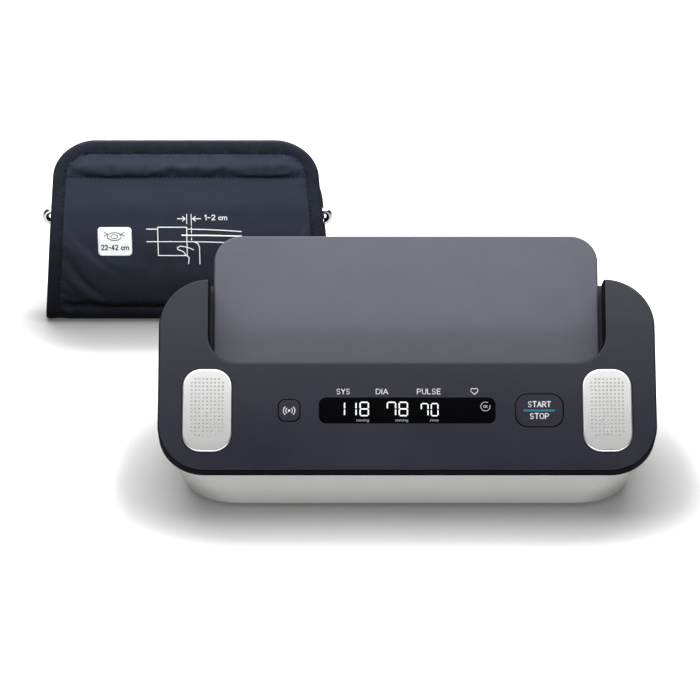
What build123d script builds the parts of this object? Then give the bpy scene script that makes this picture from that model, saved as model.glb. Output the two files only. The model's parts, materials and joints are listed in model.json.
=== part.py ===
"""Upper-arm blood pressure monitor with two heart-rhythm electrodes, a phone cradle and a rolled arm cuff.

Everything is modelled in the monitor's own frame: X to the user's right, Y away from the user, Z up,
z = 0 on the table, and y = 0 under the front edge of the control panel. The last step shifts the whole
set so that the origin is the centre of its footprint. Units are millimetres and degrees.
"""

import os
from math import cos, radians, sin, tan

from build123d import *

# ---- housing ----
PANEL_WIDTH = 225.4
PANEL_LENGTH = 90.6
FRONT_CORNER, REAR_CORNER = 21.2, 22.7
PANEL_SLOPE = 45.0  # control panel, from horizontal
PANEL_FRONT_HEIGHT = 27.0
PARTING_SLOPE = 32.0  # joint between the dark top shell and the white tub
RIM_DEPTH = 8.7  # side of the top shell at its front edge, square to the panel
ROOF_DRAFT = 12.0  # roof behind the panel, from square to the panel
SHELL_DEPTH = 36.0
SHELL_WALL = 2.2
PANEL_SKIN = 2.4
EDGE_ROUND = 0.8
FOOT_INSET = 11.0  # tub footprint, in from the panel's sides
FOOT_FRONT = 14.5
FOOT_CORNER = 26.0
REAR_LEAN = 9.5  # footprint, out from the top of the tub's rear wall
TUB_WALL = 2.2
TUB_FLOOR = 2.5
TUB_EDGE_ROUND = 2.0
FIT_GAP = 0.3  # between parts that slide past each other

# ---- phone cradle ----
WING_WIDTH = 22.6  # panel left standing on each side of the cradle
POCKET_LENGTH = 39.7  # down the panel from its rear edge to the ledge
POCKET_CORNER = 13.0
POCKET_DEPTH = 24.0
POCKET_WALL = 2.0
REST_DEPTH = 20.0  # face of the back rest below the panel
REST_THICKNESS = 2.6
REST_SIDE_GAP = 1.6
REST_SEAT = 1.0  # depth of the groove round the pocket that the back rest's foot stands in
REST_FOOT_GAP = 0.4
SEAT_MARGIN = 0.2  # the groove starts this far in front of the back rest's face
REST_RISE = 28.1  # back rest, past the panel's rear edge
REST_TOP_CORNER = 12.5
REST_EDGE_ROUND = 0.8
REST_SCREW_COVER = 1.2  # plate left in front of the screws that hold it
BRACE_INSET = 9.0
BRACE_FOOT_GAP = 5.0
BRACE_DEPTH = 7.5
BRACE_TOP_INSET = 4.0
STAND_SCREW_INSET = 30.0

# ---- controls, on the panel ----
CONTROL_LINE = 28.0  # all controls are centred on this line, up the panel
PAD_MARGIN = 22.3  # from the panel's sides to the middle of each electrode pad
START_WIDTH, START_LENGTH, START_CORNER = 21.3, 15.2, 5.4
START_FROM_PAD = 30.7
LINK_WIDTH, LINK_LENGTH, LINK_CORNER = 9.5, 9.9, 3.0
LINK_FROM_PAD = 37.1
BUTTON_GAP = 0.45
BUTTON_TRAVEL = 0.6
BUTTON_FLANGE = 1.2
FLANGE_THICKNESS = 0.8
BUTTON_EDGE_ROUND = 0.3
STEM_RADIUS = 2.0
STEM_LENGTH = 1.5
WINDOW_WIDTH, WINDOW_LENGTH, WINDOW_CORNER = 79.7, 12.1, 3.3
WINDOW_THICKNESS = 1.5
WINDOW_GAP = 0.1
WINDOW_LEDGE = 1.3
GLASS_THICKNESS = 1.6
PAD_WIDTH, PAD_LENGTH, PAD_CORNER = 22.4, 39.1, 8.6
PAD_SEAT = 1.2
PAD_PROUD = 0.9
PAD_GAP = 0.4
PAD_EDGE_ROUND = 0.8
DIMPLE_PITCH = 1.757
DIMPLE_COLUMNS, DIMPLE_ROWS = 9, 16
DIMPLE_SHIFT = 1.4  # the dimple field sits this far above the pad's centre
DIMPLE_BALL = 0.55
DIMPLE_DEPTH = 0.3
STUD_RADIUS = 1.5
STUD_SPREAD = 24.0
STUD_END = 4.0  # stud tips, below the panel
PIN_RADIUS, PIN_LENGTH, PIN_BARREL_RADIUS = 0.8, 1.5, 1.3

# ---- boards ----
BOARD_TOP = 8.0  # component face, below the panel
BOARD_THICKNESS = 1.6
BOARD_INSET = 18.7  # main board, in from the panel's sides
BOARD_LENGTH = 32.0
BOARD_BOSS_INSET = 37.2
BOARD_BOSS_RADIUS = 3.0
BOARD_SCREW_RADIUS, BOARD_SCREW_LENGTH = 1.1, 5.6
SMALL_HEAD_RADIUS, SMALL_HEAD_HEIGHT = 2.1, 1.3
BOARD_EDGE = 4.0  # screws sit this far in from a board's edges
SWITCH_SIZE, SWITCH_HEIGHT = 6.0, 2.0
CHIPS = ((8, 12, 12, 1.2), (-38, 15, 11, 2.0), (34, 9, 9, 1.4), (-60, 11, 8, 3.6))  # x and size of each
POST_RADIUS = 2.6  # posts under the power board
POWER_BOARD_Z = 9.0
POWER_BOARD_WIDTH, POWER_BOARD_LENGTH = 50.0, 56.0
POWER_BOARD_MARGIN = 23.5  # from the panel's right side
POWER_BOARD_REAR = 12.5  # from the footprint's rear edge

# ---- batteries ----
CELL_RADIUS, CELL_LENGTH = 7.1, 49.3
NUB_RADIUS, NUB_LENGTH = 2.7, 1.1
CELL_GAP = 1.3
CELL_COUNT = 4
BAY_WALL = 1.6
SPRING_SPACE = 4.6
CONTACT_THICKNESS = 0.4
CONTACT_HEIGHT = 12.0
SPRING_TURNS, SPRING_PITCH, SPRING_WIRE = 4, 1.25, 0.8
SPRING_RADIUS, SPRING_TAPER = 4.6, 0.4
DOOR_STEP = 9.0  # bay's rear end, in from the footprint's rear edge
TONGUE = 1.2
TONGUE_THICKNESS = 1.0
GRIP_COUNT, GRIP_PITCH, GRIP_WIDTH, GRIP_DEPTH, GRIP_START = 3, 4.0, 24.0, 0.6, 8.0

# ---- air system ----
JACK_Y, JACK_Z = 36.0, 22.0
JACK_BORE = 2.25
JACK_BORE_LENGTH = 12.0
JACK_BODY_RADIUS = 5.0
JACK_FLANGE_RADIUS = 7.5
JACK_FLANGE = 1.5
JACK_SEAT_INSET = 9.4  # flange seat, in from the panel's left side
JACK_BOSS_RADIUS = 9.5
JACK_BOSS_LENGTH = 4.0
NIPPLE_RADIUS = 1.6
NIPPLE_LENGTH = 7.0
PUMP_FROM_REAR = 28.0
PUMP_FROM_SIDE = 23.7
MOTOR_RADIUS, MOTOR_LENGTH = 12.0, 30.0
HEAD_SIZE, HEAD_LENGTH = 27.0, 24.0
SLEEVE_THICKNESS = 1.8
HOSE_RADIUS = 2.9
HOSE_BEND = 15.0
HOSE_BEND_SHARE = 0.7  # the bend takes up at most this much of the hose's last run
PUMP_GAP = 2.0  # least space between the pump head and the battery bay
VALVE_HOSE_LENGTH = 7.0
VALVE_SIZE, VALVE_HEIGHT = 13.0, 10.0

# ---- mains adapter socket ----
SOCKET_MARGIN = 46.7  # from the panel's right side
SOCKET_Z = 16.5
SOCKET_BORE, SOCKET_PIN, SOCKET_DEPTH = 2.8, 1.0, 9.0
SOCKET_RADIUS = 4.6

# ---- fasteners and feet ----
BOSS_INSET = 17.2  # housing screws, in from the panel's sides
BOSS_FRONT, BOSS_REAR = 33.5, 18.0  # and in from the footprint's ends
BOSS_RADIUS = 4.2
SCREW_GAP = 0.05
SCREW_RADIUS, SCREW_LENGTH = 1.45, 14.0
SCREW_HEAD_RADIUS, SCREW_HEAD_HEIGHT = 2.8, 2.0
SCREW_SEAT = 8.0  # tub plastic between the screw head and the joint
RUBBER_FOOT_RADIUS = 6.0
RUBBER_FOOT_HEIGHT = 1.5
RUBBER_FOOT_SEAT = 0.6
RUBBER_FOOT_INSET = 30.7
RUBBER_FOOT_MARGIN = 15.0

# ---- arm cuff, a strip rolled flat and stood on its lower fold ----
CUFF_WIDTH = 142.6
CUFF_LEFT = -177.0
CUFF_BEHIND = 197.6  # front of the cuff, behind the front edge of the panel
CUFF_HEIGHT = 100.0
CUFF_TAPER = 8.0  # each side comes in this far over the height
CUFF_LAYER_PITCH = 4.6
CLOTH = 0.9
BLADDER = 1.2
CUFF_CORNER = 20.0
ROLL_TOP_INSET = 17.0  # inner turns end this far below the free end
BINDING_WIDTH = 7.0
BINDING_THICKNESS = 0.4
BINDING_LENGTH = 84.0
HOOK_WIDTH, HOOK_LENGTH, HOOK_THICKNESS = 100.0, 34.0, 1.0
HOOK_TOP_INSET = 27.0
RING_HEIGHT = 8.7
RING_WIRE = 1.5
RING_OVERHANG = 4.4
RING_Z = 55.4
HEM_WALL = 0.9
HEM_BORE_GAP = 0.35
HEM_NECK = 1.2
PORT_RADIUS, PORT_BORE, PORT_Z = 6.0, 2.0, 34.0
PORT_LENGTH = 6.0
PORT_SIDE = 40.0

# ---- derived places ----
SLOPE = radians(PANEL_SLOPE)
PANEL = Plane(origin=(0, 0, PANEL_FRONT_HEIGHT), x_dir=(1, 0, 0), z_dir=(0, -sin(SLOPE), cos(SLOPE)))
TUB_BASE = RUBBER_FOOT_HEIGHT
FLOOR_TOP = TUB_BASE + TUB_FLOOR
PARTING = Plane(
    origin=(0, RIM_DEPTH * sin(SLOPE), PANEL_FRONT_HEIGHT - RIM_DEPTH * cos(SLOPE)),
    x_dir=(1, 0, 0),
    z_dir=(0, -sin(radians(PARTING_SLOPE)), cos(radians(PARTING_SLOPE))),
)
ROOF_GROWTH = SHELL_DEPTH * tan(radians(ROOF_DRAFT))
ROOF_PARTING_DEPTH = (RIM_DEPTH + PANEL_LENGTH * tan(SLOPE - radians(PARTING_SLOPE))) / (
    1 - tan(radians(ROOF_DRAFT)) * tan(SLOPE - radians(PARTING_SLOPE))
)
ROOF_PARTING_LENGTH = PANEL_LENGTH + ROOF_PARTING_DEPTH * tan(radians(ROOF_DRAFT))
FOOT_REAR = ROOF_PARTING_LENGTH * cos(SLOPE) + ROOF_PARTING_DEPTH * sin(SLOPE) + REAR_LEAN
POCKET_WIDTH = PANEL_WIDTH - 2 * WING_WIDTH
POCKET_START = PANEL_LENGTH - POCKET_LENGTH
REST_TOP = PANEL_LENGTH + REST_RISE
PAD_X = PANEL_WIDTH / 2 - PAD_MARGIN
PAD_CENTRES = ((-PAD_X, CONTROL_LINE), (PAD_X, CONTROL_LINE))
START_X = PAD_X - START_FROM_PAD
LINK_X = LINK_FROM_PAD - PAD_X
FLANGE_TOP = PANEL_SKIN + 0.2
STEM_END = FLANGE_TOP + FLANGE_THICKNESS + STEM_LENGTH
BOARD_WIDTH = PANEL_WIDTH - 2 * BOARD_INSET
BOARD_MIDDLE = CONTROL_LINE + 2.0
BOARD_BOSS_X = PANEL_WIDTH / 2 - BOARD_BOSS_INSET
BOARD_UNDER = BOARD_TOP + BOARD_THICKNESS
POWER_RIGHT = PANEL_WIDTH / 2 - POWER_BOARD_MARGIN
POWER_REAR = FOOT_REAR - POWER_BOARD_REAR
POWER_TOP = POWER_BOARD_Z + BOARD_THICKNESS
CELL_PITCH = 2 * CELL_RADIUS + CELL_GAP
BAY_HALF = CELL_COUNT * CELL_PITCH / 2
BAY_REAR = FOOT_REAR - DOOR_STEP
BAY_FRONT = BAY_REAR - SPRING_SPACE - 2 * NUB_LENGTH - CELL_LENGTH - CONTACT_THICKNESS
CELL_Z = FLOOR_TOP + CELL_RADIUS + FIT_GAP
BAY_TOP = CELL_Z + CELL_RADIUS + FIT_GAP
DOOR_TOP = BAY_TOP + BAY_WALL
DOOR_REACH = FOOT_REAR + REAR_LEAN  # well outside the tub's rear wall
CELL_FRONT = BAY_FRONT + SPRING_SPACE
CELL_XS = [(i - (CELL_COUNT - 1) / 2) * CELL_PITCH for i in range(CELL_COUNT)]
JACK_SEAT_X = JACK_SEAT_INSET - PANEL_WIDTH / 2
JACK_FACE_X = JACK_SEAT_X - JACK_FLANGE
JACK_INNER_X = JACK_FACE_X + JACK_BORE_LENGTH + 3.0
PUMP_Y = FOOT_REAR - PUMP_FROM_REAR
PUMP_Z = FLOOR_TOP + HEAD_SIZE / 2 + 2.0
MOTOR_X = PUMP_FROM_SIDE - PANEL_WIDTH / 2
HEAD_X = min(MOTOR_X + MOTOR_LENGTH, -BAY_HALF - BAY_WALL - PUMP_GAP - HEAD_LENGTH)
OUTLET_X = HEAD_X + HEAD_LENGTH / 2
HEAD_TOP = PUMP_Z + HEAD_SIZE / 2
SOCKET_X = PANEL_WIDTH / 2 - SOCKET_MARGIN
BOSS_X = PANEL_WIDTH / 2 - BOSS_INSET
BOSS_YS = (FOOT_FRONT + BOSS_FRONT, FOOT_REAR - BOSS_REAR)
RUBBER_FOOT_X = PANEL_WIDTH / 2 - RUBBER_FOOT_INSET
RUBBER_FOOT_YS = (FOOT_FRONT + RUBBER_FOOT_MARGIN, FOOT_REAR - RUBBER_FOOT_MARGIN)
STRIP = 2 * CLOTH + BLADDER
CUFF_X = CUFF_LEFT + CUFF_WIDTH / 2
CUFF_Y = CUFF_BEHIND + 2 * CUFF_LAYER_PITCH + STRIP / 2
CUFF_BACK = CUFF_Y + 2 * CUFF_LAYER_PITCH + STRIP / 2
ROLL_FOOT_Z = 2 * CUFF_LAYER_PITCH + STRIP / 2
ROLL_TOP_Z = CUFF_HEIGHT - ROLL_TOP_INSET - 1.5 * CUFF_LAYER_PITCH - STRIP / 2
RING_WIDTH = CUFF_WIDTH - 2 * CUFF_TAPER * RING_Z / CUFF_HEIGHT + 2 * RING_OVERHANG
HEM_Z = RING_Z + RING_HEIGHT / 2 - RING_WIRE
HEM_BORE = RING_WIRE + HEM_BORE_GAP
HEM_TOP = HEM_Z + HEM_BORE + HEM_WALL
HEM_LENGTH = RING_WIDTH - 3 * RING_HEIGHT


# ---- helpers ----
def on_panel(shape):
    """Places a shape drawn in panel coordinates: x across, y up the panel, z out of it."""
    return PANEL.location * shape


def slab(sketch, top, bottom):
    """A sketch in panel coordinates extruded between two heights, measured down from the panel face."""
    return Pos(0, 0, -bottom) * extrude(sketch, amount=bottom - top)


def patch(width, length, corner, centre=(0, 0), grow=0.0):
    """A round-cornered rectangle, optionally grown all round."""
    return Pos(*centre) * RectangleRounded(width + 2 * grow, length + 2 * grow, corner + grow)


def outline(width, length, front_corner, rear_corner):
    """A rectangle with one corner radius at the front and another at the rear."""
    face = fillet(Rectangle(width, length).vertices().group_by(Axis.Y)[0], front_corner)
    return fillet(face.vertices().group_by(Axis.Y)[-1], rear_corner)


def disc(radius, x, y, bottom, top):
    """An upright cylinder between two heights."""
    return Pos(x, y, bottom) * Cylinder(radius, top - bottom, align=(Align.CENTER, Align.CENTER, Align.MIN))


def block(x0, y0, z0, x1, y1, z1):
    """A box between two corners."""
    return Pos((x0 + x1) / 2, (y0 + y1) / 2, (z0 + z1) / 2) * Box(x1 - x0, y1 - y0, z1 - z0)


def tube_along_x(radius, x0, x1, y, z):
    """A cylinder along X."""
    return Pos((x0 + x1) / 2, y, z) * Rot(0, 90, 0) * Cylinder(radius, abs(x1 - x0))


def tube_along_y(radius, y0, y1, x, z):
    """A cylinder along Y."""
    return Pos(x, (y0 + y1) / 2, z) * Rot(90, 0, 0) * Cylinder(radius, abs(y1 - y0))


def parting_height(y):
    """Height of the joint between shell and tub at a depth y."""
    return PARTING.origin.Z + (y - PARTING.origin.Y) * tan(radians(PARTING_SLOPE))


# ---- housing bodies ----
def shell_block(inset=0.0, top=0.0):
    """The solid between the panel outline and its larger shadow, inset by a wall."""
    faces = []
    for depth in (top, SHELL_DEPTH):
        growth = ROOF_GROWTH * depth / SHELL_DEPTH
        length = PANEL_LENGTH + growth
        corners = (FRONT_CORNER - inset, REAR_CORNER - inset)
        face = outline(PANEL_WIDTH - 2 * inset, length - 2 * inset, *corners)
        faces.append(Pos(0, length / 2, -depth) * face)
    return on_panel(loft(faces, ruled=True))


def tub_block(inset=0.0, floor=0.0):
    """The solid between the parting outline and the footprint, inset by a wall."""
    rim = section(shell_block(inset), section_by=PARTING)
    width = PANEL_WIDTH - 2 * FOOT_INSET - 2 * inset
    length = FOOT_REAR - FOOT_FRONT - 2 * inset
    corner = FOOT_CORNER - inset
    centre = Pos(0, (FOOT_FRONT + FOOT_REAR) / 2, TUB_BASE + floor)
    footprint = centre * outline(width, length, corner, corner)
    return loft([footprint.face(), rim.face()], ruled=True)


def pocket_outline(grow=0.0):
    """The cradle pocket: square to the panel, open at the roof, round at its lower corners."""
    reach = 2 * PANEL_LENGTH
    return patch(POCKET_WIDTH, reach, POCKET_CORNER, (0, POCKET_START + reach / 2), grow)


def board_bosses():
    """Centres of the bosses that carry the main board."""
    reach = BOARD_LENGTH / 2 - BOARD_EDGE
    return [(x, BOARD_MIDDLE + side * reach) for x in (-BOARD_BOSS_X, BOARD_BOSS_X) for side in (-1, 1)]


def housing_boss_spots():
    """Centres of the screw bosses that join shell and tub."""
    return [(x, y) for x in (-BOSS_X, BOSS_X) for y in BOSS_YS]


def top_shell():
    whole = shell_block()
    upper = split(whole, bisect_by=PARTING, keep=Keep.TOP)
    hollow = shell_block(SHELL_WALL, PANEL_SKIN)
    pocket_walls = on_panel(slab(pocket_outline(POCKET_WALL), 0, POCKET_DEPTH + POCKET_WALL)) & whole
    shell = upper - hollow + pocket_walls
    for x, y in housing_boss_spots():
        boss = disc(BOSS_RADIUS, x, y, 0, PANEL_FRONT_HEIGHT + PANEL_LENGTH)
        shell += split(boss & whole, bisect_by=PARTING, keep=Keep.TOP)
    for centre in board_bosses():
        boss = Pos(*centre) * Circle(BOARD_BOSS_RADIUS)
        shell += on_panel(slab(boss, PANEL_SKIN / 2, BOARD_TOP))
    shell -= on_panel(slab(pocket_outline(), -1, POCKET_DEPTH))
    shell -= on_panel(slab(pocket_outline(REST_SEAT), REST_DEPTH - SEAT_MARGIN, POCKET_DEPTH))
    shell -= screw_holes()
    panel_face = shell.faces().filter_by(PANEL).sort_by(lambda f: f.area)[-1]
    shell = fillet(panel_face.outer_wire().edges(), EDGE_ROUND)
    return shell - panel_cuts()


def screw_holes():
    """Pilot holes for the housing screws, in the shell's bosses."""
    holes = []
    for x, y in housing_boss_spots():
        seat = parting_height(y) - SCREW_SEAT
        holes.append(disc(SCREW_RADIUS + SCREW_GAP, x, y, seat, seat + SCREW_LENGTH + 1))
    return Compound(holes)


def panel_cuts():
    """Openings for the buttons, window, electrode pads, their studs and the board screws."""
    start = patch(START_WIDTH, START_LENGTH, START_CORNER, (START_X, CONTROL_LINE), BUTTON_GAP)
    link = patch(LINK_WIDTH, LINK_LENGTH, LINK_CORNER, (LINK_X, CONTROL_LINE), BUTTON_GAP)
    lens = patch(WINDOW_WIDTH, WINDOW_LENGTH, WINDOW_CORNER, (0, CONTROL_LINE), WINDOW_GAP)
    view = patch(WINDOW_WIDTH, WINDOW_LENGTH, WINDOW_CORNER, (0, CONTROL_LINE), -WINDOW_LEDGE)
    cuts = [slab(start, -1, PANEL_SKIN + 1), slab(link, -1, PANEL_SKIN + 1)]
    cuts += [slab(lens, -1, WINDOW_THICKNESS), slab(view, 0, PANEL_SKIN + 1)]
    for centre in PAD_CENTRES:
        seat = patch(PAD_WIDTH, PAD_LENGTH, PAD_CORNER, centre, PAD_GAP)
        cuts.append(slab(seat, -1, PAD_SEAT))
        for stud in stud_centres(centre):
            cuts.append(slab(Pos(*stud) * Circle(STUD_RADIUS + 0.2), 0, PANEL_SKIN + 1))
    for centre in board_bosses():
        hole = Pos(*centre) * Circle(BOARD_SCREW_RADIUS + SCREW_GAP)
        cuts.append(slab(hole, BOARD_TOP - 5, BOARD_TOP + 1))
    screw_ways = stand_screw_holes(POCKET_DEPTH - 1, POCKET_DEPTH + POCKET_WALL + 1, 2 * SCREW_GAP)
    return Compound([on_panel(cut) for cut in cuts] + [screw_ways])


def base_tub():
    """White lower housing with the battery bay, screw bosses, pump saddle and the two socket holes."""
    outside, inside = tub_block(), tub_block(TUB_WALL, TUB_FLOOR)
    rim = outside.faces().sort_by(Axis.Z)[0]
    outside = fillet(rim.outer_wire().edges(), TUB_EDGE_ROUND)
    tub = outside - inside
    for x, y in housing_boss_spots():
        tub += disc(BOSS_RADIUS, x, y, TUB_BASE, parting_height(y + BOSS_RADIUS)) & outside
    tub += bay_walls() & outside
    boss_end = JACK_SEAT_X + JACK_BOSS_LENGTH
    tub += tube_along_x(JACK_BOSS_RADIUS, -PANEL_WIDTH, boss_end, JACK_Y, JACK_Z) & outside
    tub += pump_saddle() & outside
    tub += power_posts()
    tub -= screw_wells()
    tub -= bay_inside()
    tub -= door_opening()
    tub -= foot_seats()
    tub -= jack_hole() + socket_hole()
    return tub


def screw_wells():
    """Counterbores that take the housing screws in from below."""
    wells = []
    for x, y in housing_boss_spots():
        seat = parting_height(y) - SCREW_SEAT
        wells.append(disc(SCREW_HEAD_RADIUS + FIT_GAP, x, y, 0, seat))
        wells.append(disc(SCREW_RADIUS + 3 * SCREW_GAP, x, y, seat, seat + 2 * SCREW_SEAT))
    return Compound(wells)


def bay_walls():
    """Battery bay with its cells' ceiling, before it is hollowed."""
    half = BAY_HALF + BAY_WALL
    return block(-half, BAY_FRONT - BAY_WALL, TUB_BASE, half, BAY_REAR + BAY_WALL, BAY_TOP + BAY_WALL)


def bay_inside():
    return block(-BAY_HALF, BAY_FRONT, FLOOR_TOP, BAY_HALF, BAY_REAR, BAY_TOP)


def door_opening():
    """The way out of the bay: the floor below it and the rear wall behind it, with side grooves."""
    way = block(-BAY_HALF, BAY_FRONT, 0, BAY_HALF, DOOR_REACH, FLOOR_TOP)
    rear = block(-BAY_HALF, BAY_REAR + BAY_WALL, 0, BAY_HALF, DOOR_REACH, DOOR_TOP)
    return way + rear + door_tongues(FIT_GAP, DOOR_REACH)


def door_tongues(grow, rear):
    """The door's side tongues, or with some growth the grooves that they run in."""
    half = BAY_HALF + TONGUE - FIT_GAP + grow
    middle = TUB_BASE + TUB_FLOOR / 2
    reach = (TONGUE_THICKNESS + grow) / 2
    return block(-half, BAY_FRONT + 4 - grow, middle - reach, half, rear, middle + reach)


def battery_door():
    """Slides out to the rear; its upstand is a piece of the tub's rear wall."""
    half = BAY_HALF - FIT_GAP
    whole = tub_block()
    floor = block(-half, BAY_FRONT + FIT_GAP, TUB_BASE, half, DOOR_REACH, FLOOR_TOP - FIT_GAP)
    rear = block(-half, BAY_REAR + BAY_WALL + FIT_GAP, TUB_BASE, half, DOOR_REACH, DOOR_TOP - FIT_GAP)
    door = (floor & whole) + (rear & (whole - tub_block(TUB_WALL, TUB_FLOOR)))
    door += door_tongues(0, BAY_REAR)
    for i in range(GRIP_COUNT):
        y = BAY_REAR - GRIP_START - GRIP_PITCH * i
        door -= Pos(0, y, TUB_BASE) * Box(GRIP_WIDTH, GRIP_PITCH / 2, GRIP_DEPTH * 2)
    return door


def pump_saddle():
    """Two ribs on the tub floor that cradle the pump motor's rubber sleeve."""
    bore = MOTOR_RADIUS + SLEEVE_THICKNESS
    ribs = []
    for x in (MOTOR_X + 6, HEAD_X - 8):
        ribs.append(block(x, PUMP_Y - bore - 1.5, TUB_BASE, x + 2, PUMP_Y + bore + 1.5, PUMP_Z))
    return Compound(ribs) - tube_along_x(bore + 0.1, MOTOR_X - 5, HEAD_X, PUMP_Y, PUMP_Z)


def power_screw_spots():
    """Centres of the screws that hold the power board."""
    xs = (POWER_RIGHT - POWER_BOARD_WIDTH + BOARD_EDGE, POWER_RIGHT - BOARD_EDGE)
    ys = (POWER_REAR - POWER_BOARD_LENGTH + BOARD_EDGE, POWER_REAR - BOARD_EDGE)
    return [(x, y) for x in xs for y in ys]


def power_posts():
    """Posts under the power board."""
    posts = [disc(POST_RADIUS, x, y, TUB_BASE + 1, POWER_BOARD_Z) for x, y in power_screw_spots()]
    radius = BOARD_SCREW_RADIUS + SCREW_GAP
    pilots = [disc(radius, x, y, POWER_BOARD_Z - 4, POWER_BOARD_Z + 1) for x, y in power_screw_spots()]
    return Compound(posts) - Compound(pilots)


def jack_hole():
    """Round hole and face recess for the air socket in the left wall."""
    hole = tube_along_x(JACK_BODY_RADIUS + 0.1, -PANEL_WIDTH, JACK_INNER_X, JACK_Y, JACK_Z)
    return hole + tube_along_x(JACK_FLANGE_RADIUS + 0.2, -PANEL_WIDTH, JACK_SEAT_X, JACK_Y, JACK_Z)


def socket_hole():
    return tube_along_y(SOCKET_RADIUS + 0.15, FOOT_REAR - 14, DOOR_REACH, SOCKET_X, SOCKET_Z)


def foot_spots():
    return [(x, y) for x in (-RUBBER_FOOT_X, RUBBER_FOOT_X) for y in RUBBER_FOOT_YS]


def foot_seats():
    return Compound([disc(RUBBER_FOOT_RADIUS, x, y, 0, TUB_BASE + RUBBER_FOOT_SEAT) for x, y in foot_spots()])


def rubber_feet():
    feet = []
    for x, y in foot_spots():
        foot = disc(RUBBER_FOOT_RADIUS, x, y, 0, TUB_BASE + RUBBER_FOOT_SEAT)
        feet.append(fillet(foot.edges().sort_by(Axis.Z)[:1], 0.5))
    return feet


# ---- controls ----
def button(width, length, corner, x):
    """Flush cap, a flange behind the panel and a stem down to its switch."""
    centre = (x, CONTROL_LINE)
    base = FLANGE_TOP + FLANGE_THICKNESS
    cap = slab(patch(width, length, corner, centre), 0, base)
    cap = fillet(cap.faces().sort_by(Axis.Z)[-1].edges(), BUTTON_EDGE_ROUND)
    flange = slab(patch(width, length, corner, centre, BUTTON_FLANGE), FLANGE_TOP, base)
    stem = slab(Pos(*centre) * Circle(STEM_RADIUS), FLANGE_TOP, STEM_END)
    return on_panel(cap + flange + stem)


def display_window():
    lens = slab(patch(WINDOW_WIDTH, WINDOW_LENGTH, WINDOW_CORNER, (0, CONTROL_LINE)), 0, WINDOW_THICKNESS)
    return on_panel(lens)


def display_module():
    """Glass cell in front of its frame, standing on the main board."""
    glass = patch(WINDOW_WIDTH - 3.0, WINDOW_LENGTH - 1.2, 0.5, (0, CONTROL_LINE))
    frame = patch(WINDOW_WIDTH - 1.0, WINDOW_LENGTH + 1.0, 0.8, (0, CONTROL_LINE))
    front = PANEL_SKIN + 0.1
    back = front + GLASS_THICKNESS
    return on_panel(slab(glass, front, back) + slab(frame, back, BOARD_TOP))


def stud_centres(centre):
    return [(centre[0], centre[1] + side * STUD_SPREAD / 2) for side in (-1, 1)]


def electrode(centre):
    """Metal pad with a field of small dimples and two studs behind it."""
    pad = slab(patch(PAD_WIDTH, PAD_LENGTH, PAD_CORNER, centre), -PAD_PROUD, PAD_SEAT)
    pad = fillet(pad.faces().sort_by(Axis.Z)[-1].edges(), PAD_EDGE_ROUND)
    for stud in stud_centres(centre):
        pad += slab(Pos(*stud) * Circle(STUD_RADIUS), 0, STUD_END)
    return on_panel(pad - dimples(centre))


def dimples(centre):
    balls = []
    height = PAD_PROUD + DIMPLE_BALL - DIMPLE_DEPTH
    for row in range(DIMPLE_ROWS):
        skipped = 1 if row in (0, DIMPLE_ROWS - 1) else 0
        for column in range(skipped, DIMPLE_COLUMNS - skipped):
            x = centre[0] + (column - (DIMPLE_COLUMNS - 1) / 2) * DIMPLE_PITCH
            y = centre[1] + DIMPLE_SHIFT + (row - (DIMPLE_ROWS - 1) / 2) * DIMPLE_PITCH
            balls.append(Pos(x, y, height) * Sphere(DIMPLE_BALL))
    return Compound(balls)


def electrode_contacts():
    """Sprung pins between the main board and the electrode studs."""
    pins = []
    for centre in PAD_CENTRES:
        for stud in stud_centres(centre):
            spot = Pos(*stud)
            barrel = slab(spot * Circle(PIN_BARREL_RADIUS), STUD_END + PIN_LENGTH, BOARD_TOP)
            pin = slab(spot * Circle(PIN_RADIUS), STUD_END, STUD_END + PIN_LENGTH)
            pins.append(on_panel(barrel + pin))
    return pins


# ---- phone cradle ----
def rest_outline(inset=0.0, foot=REST_FOOT_GAP, top=REST_TOP):
    """Outline of the back rest: it follows the pocket's lower corners and has round upper ones."""
    width = POCKET_WIDTH - 2 * (REST_SIDE_GAP + inset)
    low, high = POCKET_START - REST_SEAT + foot, top
    face = Pos(0, (low + high) / 2) * Rectangle(width, high - low)
    upper = face.vertices().group_by(Axis.Y)[-1]
    face = fillet(upper, REST_TOP_CORNER - min(inset, 4))
    lower = face.vertices().group_by(Axis.Y)[0]
    return fillet(lower, POCKET_CORNER - REST_SIDE_GAP)


def phone_back_rest():
    """Flat plate that the phone leans on."""
    plate = slab(rest_outline(), REST_DEPTH, REST_DEPTH + REST_THICKNESS)
    rim = plate.faces().sort_by(Axis.Z)[-1].edges()
    holes = stand_screw_holes(REST_DEPTH + REST_SCREW_COVER, REST_DEPTH + REST_THICKNESS + 1)
    return on_panel(fillet(rim, REST_EDGE_ROUND)) - holes


def stand_brace():
    """Dark rear half of the stand: a spacer in the pocket, and a deeper fin above the roof."""
    back = REST_DEPTH + REST_THICKNESS
    roof = PANEL_LENGTH + (back + BRACE_DEPTH) * tan(radians(ROOF_DRAFT)) + 1.0
    spacer = slab(rest_outline(BRACE_INSET, BRACE_FOOT_GAP, roof + 4), back, POCKET_DEPTH)
    width = POCKET_WIDTH - 2 * (REST_SIDE_GAP + BRACE_INSET)
    high = REST_TOP - BRACE_TOP_INSET
    fin = slab(Pos(0, (roof + high) / 2) * Rectangle(width, high - roof), back, back + BRACE_DEPTH)
    fin = fillet(fin.edges().filter_by(Axis.Z), 7.0)
    fin = fillet(fin.faces().sort_by(Axis.Z)[0].edges(), 3.0)
    return on_panel(spacer + fin) - stand_screw_holes(back - 1, POCKET_DEPTH + 1)


def stand_screw_spots():
    half = POCKET_WIDTH / 2 - STAND_SCREW_INSET
    return [(x, y) for x in (-half, half) for y in (POCKET_START + 12, PANEL_LENGTH - 6)]


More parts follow.
